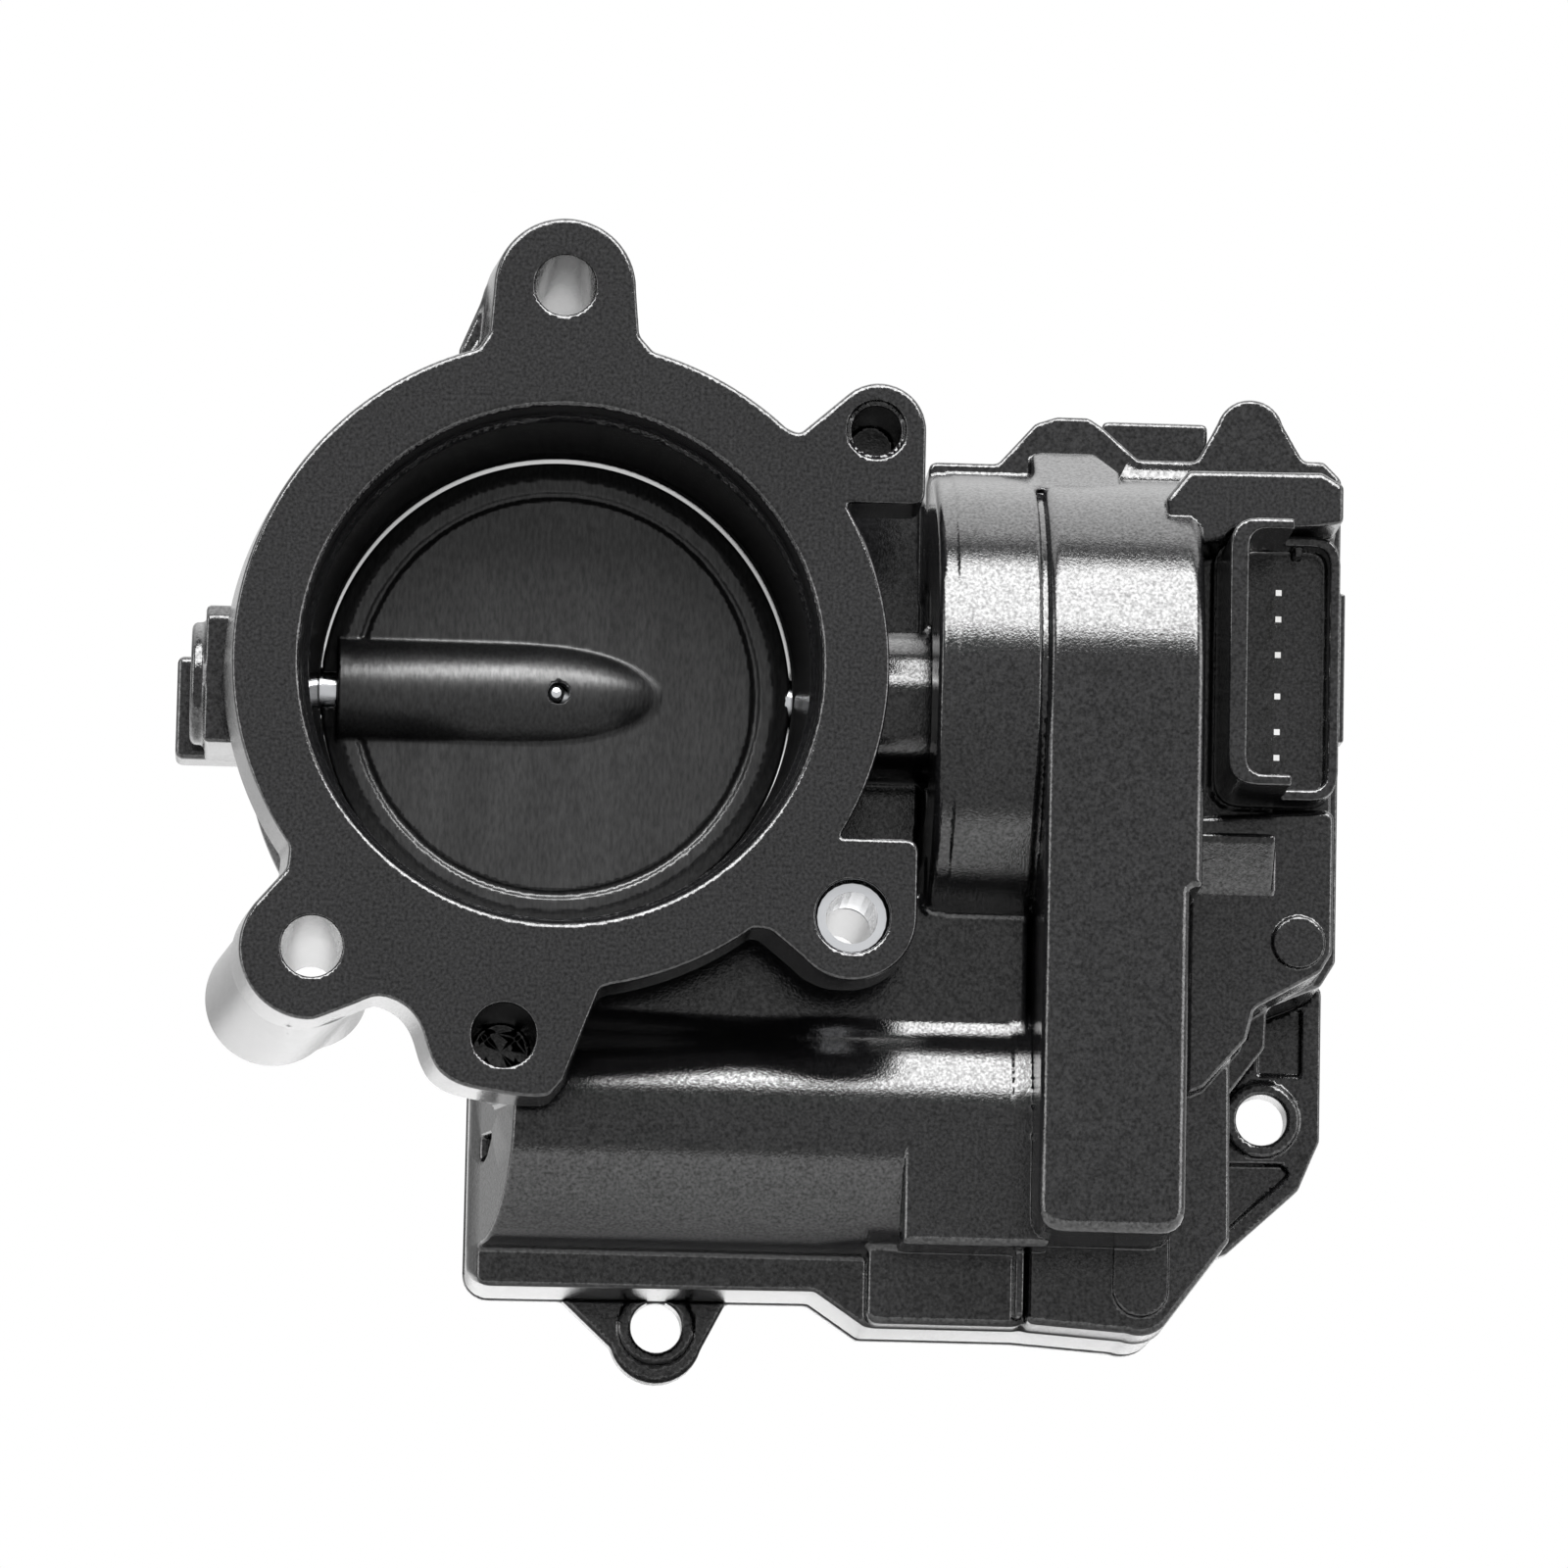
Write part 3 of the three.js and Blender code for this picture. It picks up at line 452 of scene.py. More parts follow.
def moulded(name, solid, step, most_faces, material, body, slot, *nodes):
    """Meshes a solid, thins its flat faces, and gives each vertex the field's own normal."""
    points, quads = netted(*sampled(solid, step), step)
    points = settled(solid, points, step)
    mesh = bpy.data.meshes.new(name)
    mesh.from_pydata((points * MM).tolist(), [], quads.tolist())
    piece = bpy.data.objects.new(name, mesh)
    bpy.context.scene.collection.objects.link(piece)
    if len(quads) * 2 > most_faces:
        thin = piece.modifiers.new("thin", "DECIMATE")
        thin.ratio = most_faces / (len(quads) * 2)
        dg = bpy.context.evaluated_depsgraph_get()
        mesh = bpy.data.meshes.new_from_object(piece.evaluated_get(dg))
        piece.modifiers.clear()
        piece.data = mesh
    points = np.empty(len(mesh.vertices) * 3)
    mesh.vertices.foreach_get("co", points)
    points = settled(solid, points.reshape(-1, 3) / MM, 0.3 * step)
    mesh.vertices.foreach_set("co", (points * MM).ravel())
    slopes, _ = gradient(solid, points)
    slopes /= np.maximum(np.linalg.norm(slopes, axis=1, keepdims=True), 1e-9)
    mesh.polygons.foreach_set("use_smooth", np.ones(len(mesh.polygons), bool))
    mesh.normals_split_custom_set_from_vertices(slopes.tolist())
    mesh.update()
    mesh.name = name
    mesh.materials.append(material)
    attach(piece, body)
    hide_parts(*nodes)
    print(f"{name}: {len(mesh.polygons)} faces", flush=True)


# ---- materials ----------------------------------------------------------------------------------
def material(name, color, roughness, metallic=0.0, grain=0.0, grain_scale=900.0, mottle=0.15,
             stretch=(1, 1, 1), coat=0.0, speckle=0.0):
    """A surface with fine grain in its bump and slow variation in its colour and roughness."""
    made = bpy.data.materials.new(name)
    made.use_nodes = True
    nodes, links = made.node_tree.nodes, made.node_tree.links
    shader = nodes["Principled BSDF"]
    shader.inputs["Metallic"].default_value = metallic
    shader.inputs["Coat Weight"].default_value = coat
    shader.inputs["Coat Roughness"].default_value = 0.12
    place = nodes.new("ShaderNodeTexCoord")
    mapping = nodes.new("ShaderNodeMapping")
    mapping.inputs["Scale"].default_value = stretch
    links.new(place.outputs["Object"], mapping.inputs["Vector"])

    def noise(scale, detail):
        node = nodes.new("ShaderNodeTexNoise")
        node.inputs["Scale"].default_value = scale
        node.inputs["Detail"].default_value = detail
        links.new(mapping.outputs["Vector"], node.inputs["Vector"])
        return node.outputs["Fac"]

    def ranged(source, low, high):
        node = nodes.new("ShaderNodeMapRange")
        node.inputs["From Min"].default_value = 0.3
        node.inputs["From Max"].default_value = 0.7
        node.inputs["To Min"].default_value = low
        node.inputs["To Max"].default_value = high
        links.new(source, node.inputs["Value"])
        return node.outputs["Result"]

    clouds = noise(60, 4)
    shade = nodes.new("ShaderNodeMix")
    shade.data_type = "RGBA"
    shade.inputs["A"].default_value = (*[c * (1 - mottle) for c in color], 1)
    shade.inputs["B"].default_value = (*[min(1, c * (1 + mottle)) for c in color], 1)
    links.new(ranged(clouds, 0, 1), shade.inputs["Factor"])
    if speckle:
        fine = nodes.new("ShaderNodeMix")
        fine.data_type = "RGBA"
        fine.blend_type = "MULTIPLY"
        fine.inputs["Factor"].default_value = 1.0
        links.new(shade.outputs["Result"], fine.inputs["A"])
        dots = noise(2600, 3)
        links.new(ranged(dots, 1 - speckle, 1 + speckle), fine.inputs["B"])
        links.new(ranged(dots, 0.5 - 0.45 * speckle, 0.5 + 0.45 * speckle),
                  shader.inputs["Specular IOR Level"])
        shade = fine
    links.new(shade.outputs["Result"], shader.inputs["Base Color"])
    links.new(ranged(noise(220, 3), roughness * 0.9, roughness * 1.1), shader.inputs["Roughness"])
    if grain:
        bump = nodes.new("ShaderNodeBump")
        bump.inputs["Strength"].default_value = 1.0
        bump.inputs["Distance"].default_value = grain * MM
        links.new(noise(grain_scale, 3), bump.inputs["Height"])
        links.new(bump.outputs["Normal"], shader.inputs["Normal"])
    return made


BLACK = material("black_plastic", (0.0034, 0.0034, 0.0036), 0.1, grain=0.022, grain_scale=4200,
                 speckle=0.5)
PLATE_BLACK = material("plate_plastic", (0.0026, 0.0026, 0.0028), 0.34, grain=0.03, grain_scale=1800,
                       stretch=(1, 1, 0.3), speckle=0.25)
DARK = material("dark_plastic", (0.02, 0.02, 0.021), 0.45, grain=0.03, grain_scale=1200)
GEAR = material("gear_plastic", (0.66, 0.6, 0.48), 0.42, grain=0.015, mottle=0.06)
STEEL = material("steel", (0.62, 0.63, 0.65), 0.2, 1.0, grain=0.006, stretch=(0.05, 1, 1))
ZINC = material("zinc", (0.56, 0.57, 0.55), 0.34, 1.0, grain=0.01)
SPRING_STEEL = material("spring_steel", (0.2, 0.21, 0.23), 0.35, 1.0, grain=0.01)
BRASS = material("tinned_brass", (0.95, 0.94, 0.91), 0.18, 1.0, grain=0.002)
RUBBER = material("rubber", (0.014, 0.014, 0.014), 0.75, grain=0.05)
MAGNET = material("magnet", (0.08, 0.08, 0.085), 0.45, 0.7, grain=0.02)
BOARD = material("board", (0.02, 0.11, 0.045), 0.4, grain=0.01, coat=0.4)


# ---- throttle housing ---------------------------------------------------------------------------
HOLES = {  # x, z, radius, depth
    "top": (-0.6, 45.2, 3.65, 50),
    "upper_right": (36.7, 28.9, 2.95, 14),
    "lower_right": (float(SLEEVE[0]), float(SLEEVE[2]), 3.6, 50),
    "bottom": (-5.7, -44.5, 3.8, 19),
    "lower_left": (-28.5, -34.6, 3.65, 50),
}
LUG_SIDE_X = 42.6
WINDOW_Z = 20

FLANGE_OUTLINE = [
    *arc(0, 0, RING_R, -31, 31, 30),
    (LUG_SIDE_X, WINDOW_Z),
    *arc(LUG_SIDE_X - 5.6, 28.9, 5.6, 0, 128, 24),
    (27.6, 28.1),
    *arc(0, 0, RING_R, 48, 75, 16),
    (8.3, 39.4),
    *arc(-0.6, 44.9, 8.4, 0, 180, 32),
    (-9.4, 39.4),
    *arc(0, 0, RING_R, 106, 216, 60),
    (-31.6, -25.4),
    *arc(-28.5, -34.8, 8.5, 143, 268, 24),
    *smooth([(-30, -43.4), (-28, -43.2), (-23.8, -41.5), (-20.6, -40.3), (-17.6, -41.2), (-15.6, -43.4),
             (-14.2, -47.2), (-12.6, -49.4), (-9.4, -50.8), (-2.4, -51.7), (0.4, -51), (2, -48)]),
    (1.4, -49.6), (5.5, -38.6),
    *arc(0, 0, RING_R, 280, 307, 16),
    (25.4, -31.2),
    *arc(LUG_SIDE_X - 7.6, -29.3, 7.6, 222, 360, 28),
    (LUG_SIDE_X, -WINDOW_Z),
]
LOBE_X, LOBE_Z, LOBE_R = 83.8, 35.1, 4.1
RIM_OUTLINE = [
    (-9.1, -36), *arc(-6, -68.2, 3.1, 180, 270, 8), (32.8, -71), (38.9, -75.1), (57.7, -75.1),
    *arc(71.2, -72, 4.2, 250, 315, 6),
    (81.8, -64.6), (81.5, -47), (86.6, -40.2), (86.8, -35.2), (93.2, -32.6), (95, -29.6),
    (95, 29.6), (92.8, 31.8), (90.3, 31.8),
    *arc(LOBE_X, LOBE_Z, LOBE_R, 15, 165, 18),
    (77.3, 31.4), (70.2, 31.4), (65.6, 35.4), (64, 36.4), (60.2, 36.4), (57.6, 35.5),
    (53.1, 30.4), (44.7, 30.4), (44.7, -36),
]
NECK = (81, 91.6, -9.6, 17.6)  # the connector's neck: x from, x to, z from, z to
PARTING_X = 55.3
HOLLOWS = [  # x from, x to, z from, z to, y from
    (47.2, 74.4, -DRUM_INNER_R, DRUM_INNER_R, SHAFT_Y),
    (59.9, 73.1, -63.6, -22, 2.9),
    (*MOTOR_BAY_X, MOTOR_Z - MOTOR_BAY_R, MOTOR_Z + MOTOR_BAY_R, SHAFT_Y),
    (56, 60.5, MOTOR_Z - 7.5, MOTOR_Z + 7.5, SHAFT_Y - 7.5),
    (80, 92, -10, 18, 31),
    (73, 81, -9, 14.5, 31),
    (78.8, 84.2, -39, -14, 20),
]


def add_flange(solid):
    """The flange with its draft, the air tube, and the columns round the screw holes."""
    flange = prism_y(Outline(FLANGE_OUTLINE, soften=1.6), 0, FLANGE_T, edge=0.6)
    solid.add(flange)
    solid.add(leaning(flange, 0.1, 0, 0), fillet=0)
    tube = Outline([
        (20, 2), (TUBE_R, 2), (TUBE_R, 50), (36.2, 51), (36.2, 57.5), (37.4, 58.5),
        (37.4, 60.5), (36.4, INLET_Y), (20, INLET_Y),
    ], soften=0.5)
    solid.add(turned_y(tube), fillet=1.2)
    gusset = Outline([(-6, 34), (-12.9, 36), (-12.9, 38.6), (-9.6, 46.5), (-4, 46)], soften=1)
    solid.add(prism_y(gusset, 8, 20, edge=0.8))
    corner = Outline([(-28.5, -27.6), (-34.4, -28.2), (-31, -43.2), (-28.5, -41.6)])
    solid.add(rod_y(*HOLES["lower_left"][:2], 7, *COLUMN_Y))
    column_start, column_end = COLUMN_Y
    outer = rod_y(-28.9, -34.8, 8.2, column_start + 1, column_end)
    solid.add(leaning(outer, 0.12, 0.025, column_start + 1), fillet=0.4)
    solid.add(rod_y(*HOLES["top"][:2], 6.2, *COLUMN_Y))
    solid.add(block(-5, 3.8, *COLUMN_Y, 33, 43))
    solid.add(prism_y(corner, *COLUMN_Y), fillet=0.4)
    solid.add(rod_y(*HOLES["bottom"][:2], 5.8, 8, 23))
    solid.add(rod_y(*HOLES["upper_right"][:2], 4.8, 8, 17))
    solid.add(block(31, 46, 34, 42, -30, 26))


def add_bearing_bosses(solid):
    """The bosses that hold the shaft's two bearings, and the cheek and block on the left one."""
    solid.add(rod_x(SHAFT_Y, 0.6, 7.4, -43.9, -30, edge=0.8))
    cheek = Outline([(21, -7.6), (37.5, -7.6), (37.5, 9.2), (22.5, 9.2), (21, 7.6)], soften=0.8)
    solid.add(prism_x(cheek, -42.2, -31, edge=0.6), fillet=0.6)
    solid.add(block(HOUSING_LOW[0], -33, 38, 45, -7.2, 5.4, edge=0.9), fillet=0.6)
    solid.add(rod_x(SHAFT_Y, 0, 9.2, 31, 47.5), fillet=1.2)


def add_gear_case(solid):
    """The round drum, the flat gear box in front of the idler, and the web to the bore."""
    web = Outline([
        (4, -16), (4, -53), (57, -53), (57, -20), (44.7, -20), (44.7, -24), (34, -24)])
    solid.add(prism_y(web, WEB_Y, JOINT_Y - 4), fillet=1.2)
    half = block(44, 77, -2, JOINT_Y, -30, 30, edge=0)
    r = DRUM_R
    profile = Outline([
        (15, 44.7), *arc(r - 1.3, 45.8, 1.1, -90, 0, 6), (r - 0.2, 46.8), (r, 47.2), (r, 56.6),
        (r - 0.3, 56.9), (r - 1.1, 56.9), (r - 1.1, 58.6), (15, 58.6)])
    drum = Solid().add(turned_x(profile, SHAFT_Y)).keep(half, edge=0)
    solid.add(drum, fillet=1.0)

    front, bottom = SHAFT_Y - r, -65.8
    left, step, right = 57.6, 74.9, 76.4
    side = Outline([*arc(SHAFT_Y, 0, r, 90, 180, 48), (front, -70), (JOINT_Y, -70), (JOINT_Y, r)])
    face = Outline([
        (left, 33), (left, bottom), (step, bottom), (step, -24.7), (right, -24.7), (right, 33)],
        soften=3.2)
    case = Solid().add(prism_x(side, 50, 84, edge=0))
    case.keep(prism_y(face, -10, 60, edge=0), edge=1.7)
    solid.add(Shape((left, front, bottom), (right, JOINT_Y, r), case.distance), fillet=0)


def add_motor_barrel(solid):
    """The barrel round the motor, its foot, its sloping left end and the parting rib."""
    r = BARREL_R
    profile = Outline([
        (5, BARREL_LEFT), (r, BARREL_LEFT), (r, PARTING_X - 0.2), (r + 0.25, PARTING_X + 0.2),
        (r + 0.25, 58.4), (5, 58.4)])
    solid.add(turned_x(profile, SHAFT_Y, MOTOR_Z))
    front, rear = SHAFT_Y - r, 33
    left, right, bottom = 42.4, 60, -66.5
    side = Outline([(front, MOTOR_Z), (front, -70), (rear, -70), (rear, MOTOR_Z)])
    face = Outline([(left, bottom), (right, bottom), (right, -30), (left, -30)], soften=0.8)
    foot = Solid().add(prism_x(side, 30, 70, edge=0))
    foot.keep(prism_y(face, 0, 60, edge=0), edge=1.2)
    solid.add(Shape((left, front, bottom), (right, rear, MOTOR_Z), foot.distance), fillet=0)
    solid.add(block(BARREL_LEFT, -2.4, 16.5, RIM_Y + 2, MOTOR_Z - 2, -36.8, edge=0.3), fillet=0.3)
    end = Outline([(-20, 5), (-4, 5), (-4, 14), (-7.6, RIM_Y), (-7.6, RIM_Y + 0.2),
                   (-9.1, RIM_Y + 3.6), (-9.1, 60), (-20, 60)])
    solid.cut(prism_z(end, -80, -34.5, edge=0), edge=0.5)
    solid.add(block(56.2, 57.2, 18, RIM_Y + 1, -74.4, -66, edge=0.35), fillet=0.4)


def add_rim(solid):
    """The rim that carries the cover, with the raised grounds and screw bosses on its front."""
    solid.add(prism_y(Outline(RIM_OUTLINE, soften=1.2), RIM_Y, JOINT_Y, edge=0.5), fillet=0.8)
    left = Outline([(38.9, -75.1), (38.9, -64), (57.8, -64), (57.8, -75.1)], soften=1.5)
    solid.add(prism_y(left, 24, RIM_Y + 2, edge=0.8), fillet=0.6)
    right = Outline([
        (57.7, -75.1), *arc(71.2, -72, 4.2, 250, 315, 8), (81.8, -64.6), (81.5, -40),
        (57.7, -40)], soften=1)
    solid.add(prism_y(right, 19.5, RIM_Y + 2, edge=0.8), fillet=0.6)
    side = Outline([
        (76, -14), (76, -47.6), (78.2, -46.6), (83.3, -40.6), (84.2, -36.9), (92, -32.4),
        (93.4, -30), (93.4, -12.7)], soften=1.2)
    solid.add(prism_y(side, 17, RIM_Y + 2, edge=0.7), fillet=0.6)
    top = Outline([
        (72.7, 17.8), (72.1, 23.4), (74.8, 26.9), (90.8, 27.1), (93.4, 25.6), (93.4, 21),
        (76, 17.8)], soften=0.8)
    solid.add(prism_y(top, 10, RIM_Y + 2, edge=0.8), fillet=0.5)
    bump = Outline([
        (57, 25), (57, 31), (58.1, 31.5), (64.5, 31.5), (67.2, 28.4), (67.2, 25)], soften=0.9)
    ramp = Outline([(14.8, 20), (14.8, 24.2), (24.5, 30.6), (26, 31.5), (RIM_Y + 2, 31.5),
                    (RIM_Y + 2, 20)], soften=0.8)
    raised = Solid().add(prism_x(ramp, 50, 70, edge=0))
    raised.keep(prism_y(bump, 0, 60, edge=0), edge=0.5)
    solid.add(Shape((57, 12, 20), (67.2, RIM_Y + 2, 31.5), raised.distance), fillet=0.5)
    wedge = Outline([(12, -16.4), (17, -24), (24, -24), (24, -16.4)], soften=0.8)
    solid.add(prism_x(wedge, 76, 86.1, edge=0.6), fillet=0.5)
    solid.add(block(76, 93.4, 21, RIM_Y + 2, -14, 22, edge=0.7), fillet=0.6)
    solid.add(rod_y(*SCREWS[1], 3.1, 16.1, 24, edge=0.25), fillet=0.25)
    x, z, boss_r = SCREWS[2][0], SCREWS[2][1] + 0.6, 3.3
    solid.add(rod_y(x, z, boss_r, 18.5, 26, edge=0.25), fillet=0.25)
    solid.add(block(x - boss_r, x + boss_r, 18.5, 26, z, -64, edge=0.25), fillet=0)


def cut_bores(solid):
    """The air bore, the tapered screw holes, and the seats of shaft, idler and cover screws."""
    air = Outline([
        (-6, -3), (MOUTH_R + 1.6, -3), (MOUTH_R + 0.7, 0), (MOUTH_R, 0.8), (30.5, 5.6),
        (29.8, 6.4), (29.4, 14), (BORE_R, 23), (LAND_R, 23.8), (LAND_R, 34.2), (29.6, 46),
        (INLET_R, INLET_Y - 0.6), (INLET_R + 0.6, INLET_Y + 0.1), (INLET_R + 2, INLET_Y + 3),
        (-6, INLET_Y + 3)])
    solid.cut(turned_y(air), edge=0.25)
    for x, z, radius, depth in HOLES.values():
        taper = 0.014 * depth
        hole = Outline([
            (-6, -4), (radius, -4), (radius, 0), (radius - taper, depth), (-6, depth)])
        solid.cut(turned_y(hole, x, z), edge=0.3)
    x, z = HOLES["lower_right"][:2]
    solid.cut(rod_y(x, z, 4.4, -4, 17, edge=0.1), edge=0.4)
    x, z = HOLES["upper_right"][:2]
    solid.cut(rod_y(x, z, 3.5, -4, 0.8, edge=0.2), edge=0.3)
    solid.cut(rod_x(SHAFT_Y, 0, 5.3, -47, -33.3, edge=0.1), edge=0.5)
    solid.cut(rod_x(SHAFT_Y, 0, 7, 38.7, 48, edge=0.1), edge=0.2)
    for radius, x0, x1 in ((3.15, -34, -20), (3.15, 20, 40), (4.3, 30.5, 40)):
        solid.cut(rod_x(SHAFT_Y, 0, radius, x0, x1, edge=0), edge=0.1)
    solid.cut(rod_x(IDLER_Y, IDLER_Z, 1.8, 52, 60.5, edge=0), edge=0.2)
    for x, z in SCREWS:
        solid.cut(rod_y(x, z, SCREW_HOLE_R, 33, JOINT_Y + 2, edge=0), edge=0.2)


def cut_hollows(solid):
    """The spring and gear chambers, the motor bay and the pockets, all open to the rear."""
    rear = JOINT_Y + 3
    solid.cut(rod_x(SHAFT_Y, 0, DRUM_INNER_R, 47.2, 74.4, edge=0.4), edge=0.3)
    solid.cut(block(59.9, 74.4, SHAFT_Y - DRUM_R + WALL, rear, -22.4, 0), edge=0.3)
    solid.cut(rod_x(SHAFT_Y, MOTOR_Z, MOTOR_BAY_R, *MOTOR_BAY_X), edge=0.3)
    for x0, x1, z0, z1, y in HOLLOWS:
        solid.cut(block(x0, x1, y, rear, z0, z1, edge=0.3), edge=0.3)
    gap = 0.3
    left, right = SHROUD_LOW[0] - gap, SHROUD_HIGH[0] + 3
    bottom, top = SHROUD_LOW[2] - gap, SHROUD_HIGH[2] + gap
    room = Outline([(left, bottom), (right, bottom), (right, top), (left, top)], soften=3)
    solid.cut(prism_y(room, -2, 21, edge=0.1), edge=0.3)
    x0, x1, z0, z1 = NECK
    solid.cut(block(x0 - gap, x1 + gap, 10, 32, z0 - gap, z1 + gap, edge=0.2), edge=0.2)


def make_housing():
    """The moulded housing: flange, air tube, gear case, motor barrel and rim in one piece."""
    solid = Solid()
    add_rim(solid)
    add_motor_barrel(solid)
    add_gear_case(solid)
    add_flange(solid)
    add_bearing_bosses(solid)
    cut_bores(solid)
    cut_hollows(solid)
    moulded("housing_moulding", solid, 0.4, 194000, BLACK, "housing", "black_plastic",
            "throttle_housing")


# ---- rear cover ---------------------------------------------------------------------------------
COVER_LUGS = [(14.5, -74.3), (87.8, -47.1)]
RIB_COUNT, RIB_PITCH, RIB_T = 6, 9, 1.4


def make_cover():
    """The cover with its dome over the gears, its ribs over the motor, two lugs and a tab."""
    back = COVER_Y + COVER_T
    rim = Outline(RIM_OUTLINE, soften=1.2)
    dome = Outline([(57, -66), (77, -66), (77, 28.6), (57, 28.6)], soften=3)
    bay = Outline([(0, -66), (58, -66), (58, -37.6), (0, -37.6)], soften=3)
    left_lug = Outline([
        (2.2, -70.6), (2.2, -66), (23.2, -66), (23.2, -70.6),
        *arc(14.5, -75.4, 5.68, -15, -165, 14)], soften=1)
    right_lug = Outline([
        (80, -40), (80, -64.4), (81.8, -64.4), (83.8, -63.6), (92.5, -55.6), (94.1, -51.7),
        (95, -49.6), (95, -30.5), (88, -30)], soften=1)
    top_tab = Outline([(67, 28), (67, 39), (80, 39), (80, 28)], soften=0.8)
    solid = Solid()
    solid.add(prism_y(left_lug, COVER_Y - 2, back, edge=0.5))
    solid.add(prism_y(right_lug, COVER_Y - 2, back, edge=0.5))
    solid.add(prism_y(top_tab, COVER_Y - 2, back, edge=0.5))
    for x, z in COVER_LUGS:
        solid.add(rod_y(x, z, 4.6, COVER_Y - 2.6, back), fillet=0.3)
    solid.cut(prism_y(rim, COVER_Y - 6, COVER_Y, edge=0), edge=0.2)
    solid.add(prism_y(rim, COVER_Y, back, edge=0.5), fillet=0.3)
    solid.add(prism_y(dome, COVER_Y, COVER_REAR_Y, edge=1.5), fillet=1.5)
    solid.add(prism_y(bay, COVER_Y, back + 1.4, edge=1), fillet=1)
    for i in range(RIB_COUNT):
        x = 5 + i * RIB_PITCH
        solid.add(block(x, x + RIB_T, COVER_Y, back + 3, -68, -38, edge=0.5), fillet=0.6)
    solid.cut(block(87.4, 92.6, COVER_Y - 5, COVER_Y - 0.7, -41.5, -33.4, edge=0.3), edge=0.3)
    pocket = Outline([(82.6, -52.5), (82.6, -61.8), (91.4, -53.6), (90.4, -52.4)], soften=0.6)
    solid.cut(prism_y(pocket, COVER_Y - 5, COVER_Y - 0.9, edge=0.2), edge=0.3)
    solid.cut(block(59.4, 74.6, COVER_Y - 3, COVER_REAR_Y - 2, -63.6, 26.2), edge=0.3)
    for x, z in SCREWS:
        solid.cut(rod_y(x, z, SCREW_HOLE_R, COVER_Y - 3, COVER_REAR_Y + 2, edge=0), edge=0.3)
    for x, z in COVER_LUGS:
        solid.cut(rod_y(x, z, 3.1, COVER_Y - 6, COVER_REAR_Y + 2, edge=0), edge=0.4)
    moulded("cover_moulding", solid, 0.5, 90000, BLACK, "housing", "black_plastic", "rear_cover")


# ---- connector ----------------------------------------------------------------------------------
def make_connector():
    """The shroud round the pins, cut back on its right side, and its neck into the housing."""
    latch = 0.7
    x0, x1, z0, z1 = SHROUD_LOW[0], SHROUD_HIGH[0] - latch, SHROUD_LOW[2], SHROUD_HIGH[2]
    front = float(SHROUD_LOW[1])
    step, wall, split = 14.0, 1.3, 86.8
    outside = Outline([(x0, z0), (x1, z0), (x1, z1), (x0, z1)], soften=3.4)
    inside = Outline([
        (x0 + 2.2, z0 + wall), (x1 - wall, z0 + wall), (x1 - wall, z1 - wall),
        (x0 + 2.2, z1 - wall)], soften=2.2)
    neck = Outline([
        (NECK[0], NECK[2]), (NECK[1], NECK[2]), (NECK[1], NECK[3]), (NECK[0], NECK[3])], soften=1.5)
    solid = Solid()
    solid.add(prism_y(outside, front, 20.7, edge=0.45))
    solid.cut(prism_y(inside, front - 4, 18.4, edge=0.3), edge=0.35)
    solid.cut(block(split, 105, front - 6, step, -25, 35, edge=0), edge=0.35)
    solid.add(block(x1 - 0.3, x1 + latch, step + 1, 19, -4.8, 13.2, edge=0.25), fillet=0.2)
    solid.add(block(88, 89, step + 1, 18.6, z1 - 2.4, z1 - 0.5, edge=0.2), fillet=0.2)
    solid.add(prism_y(neck, 20, 31.4, edge=0.3), fillet=0.3)
    moulded("connector_moulding", solid, 0.3, 60000, BLACK, "housing", "black_plastic",
            "connector_shell")


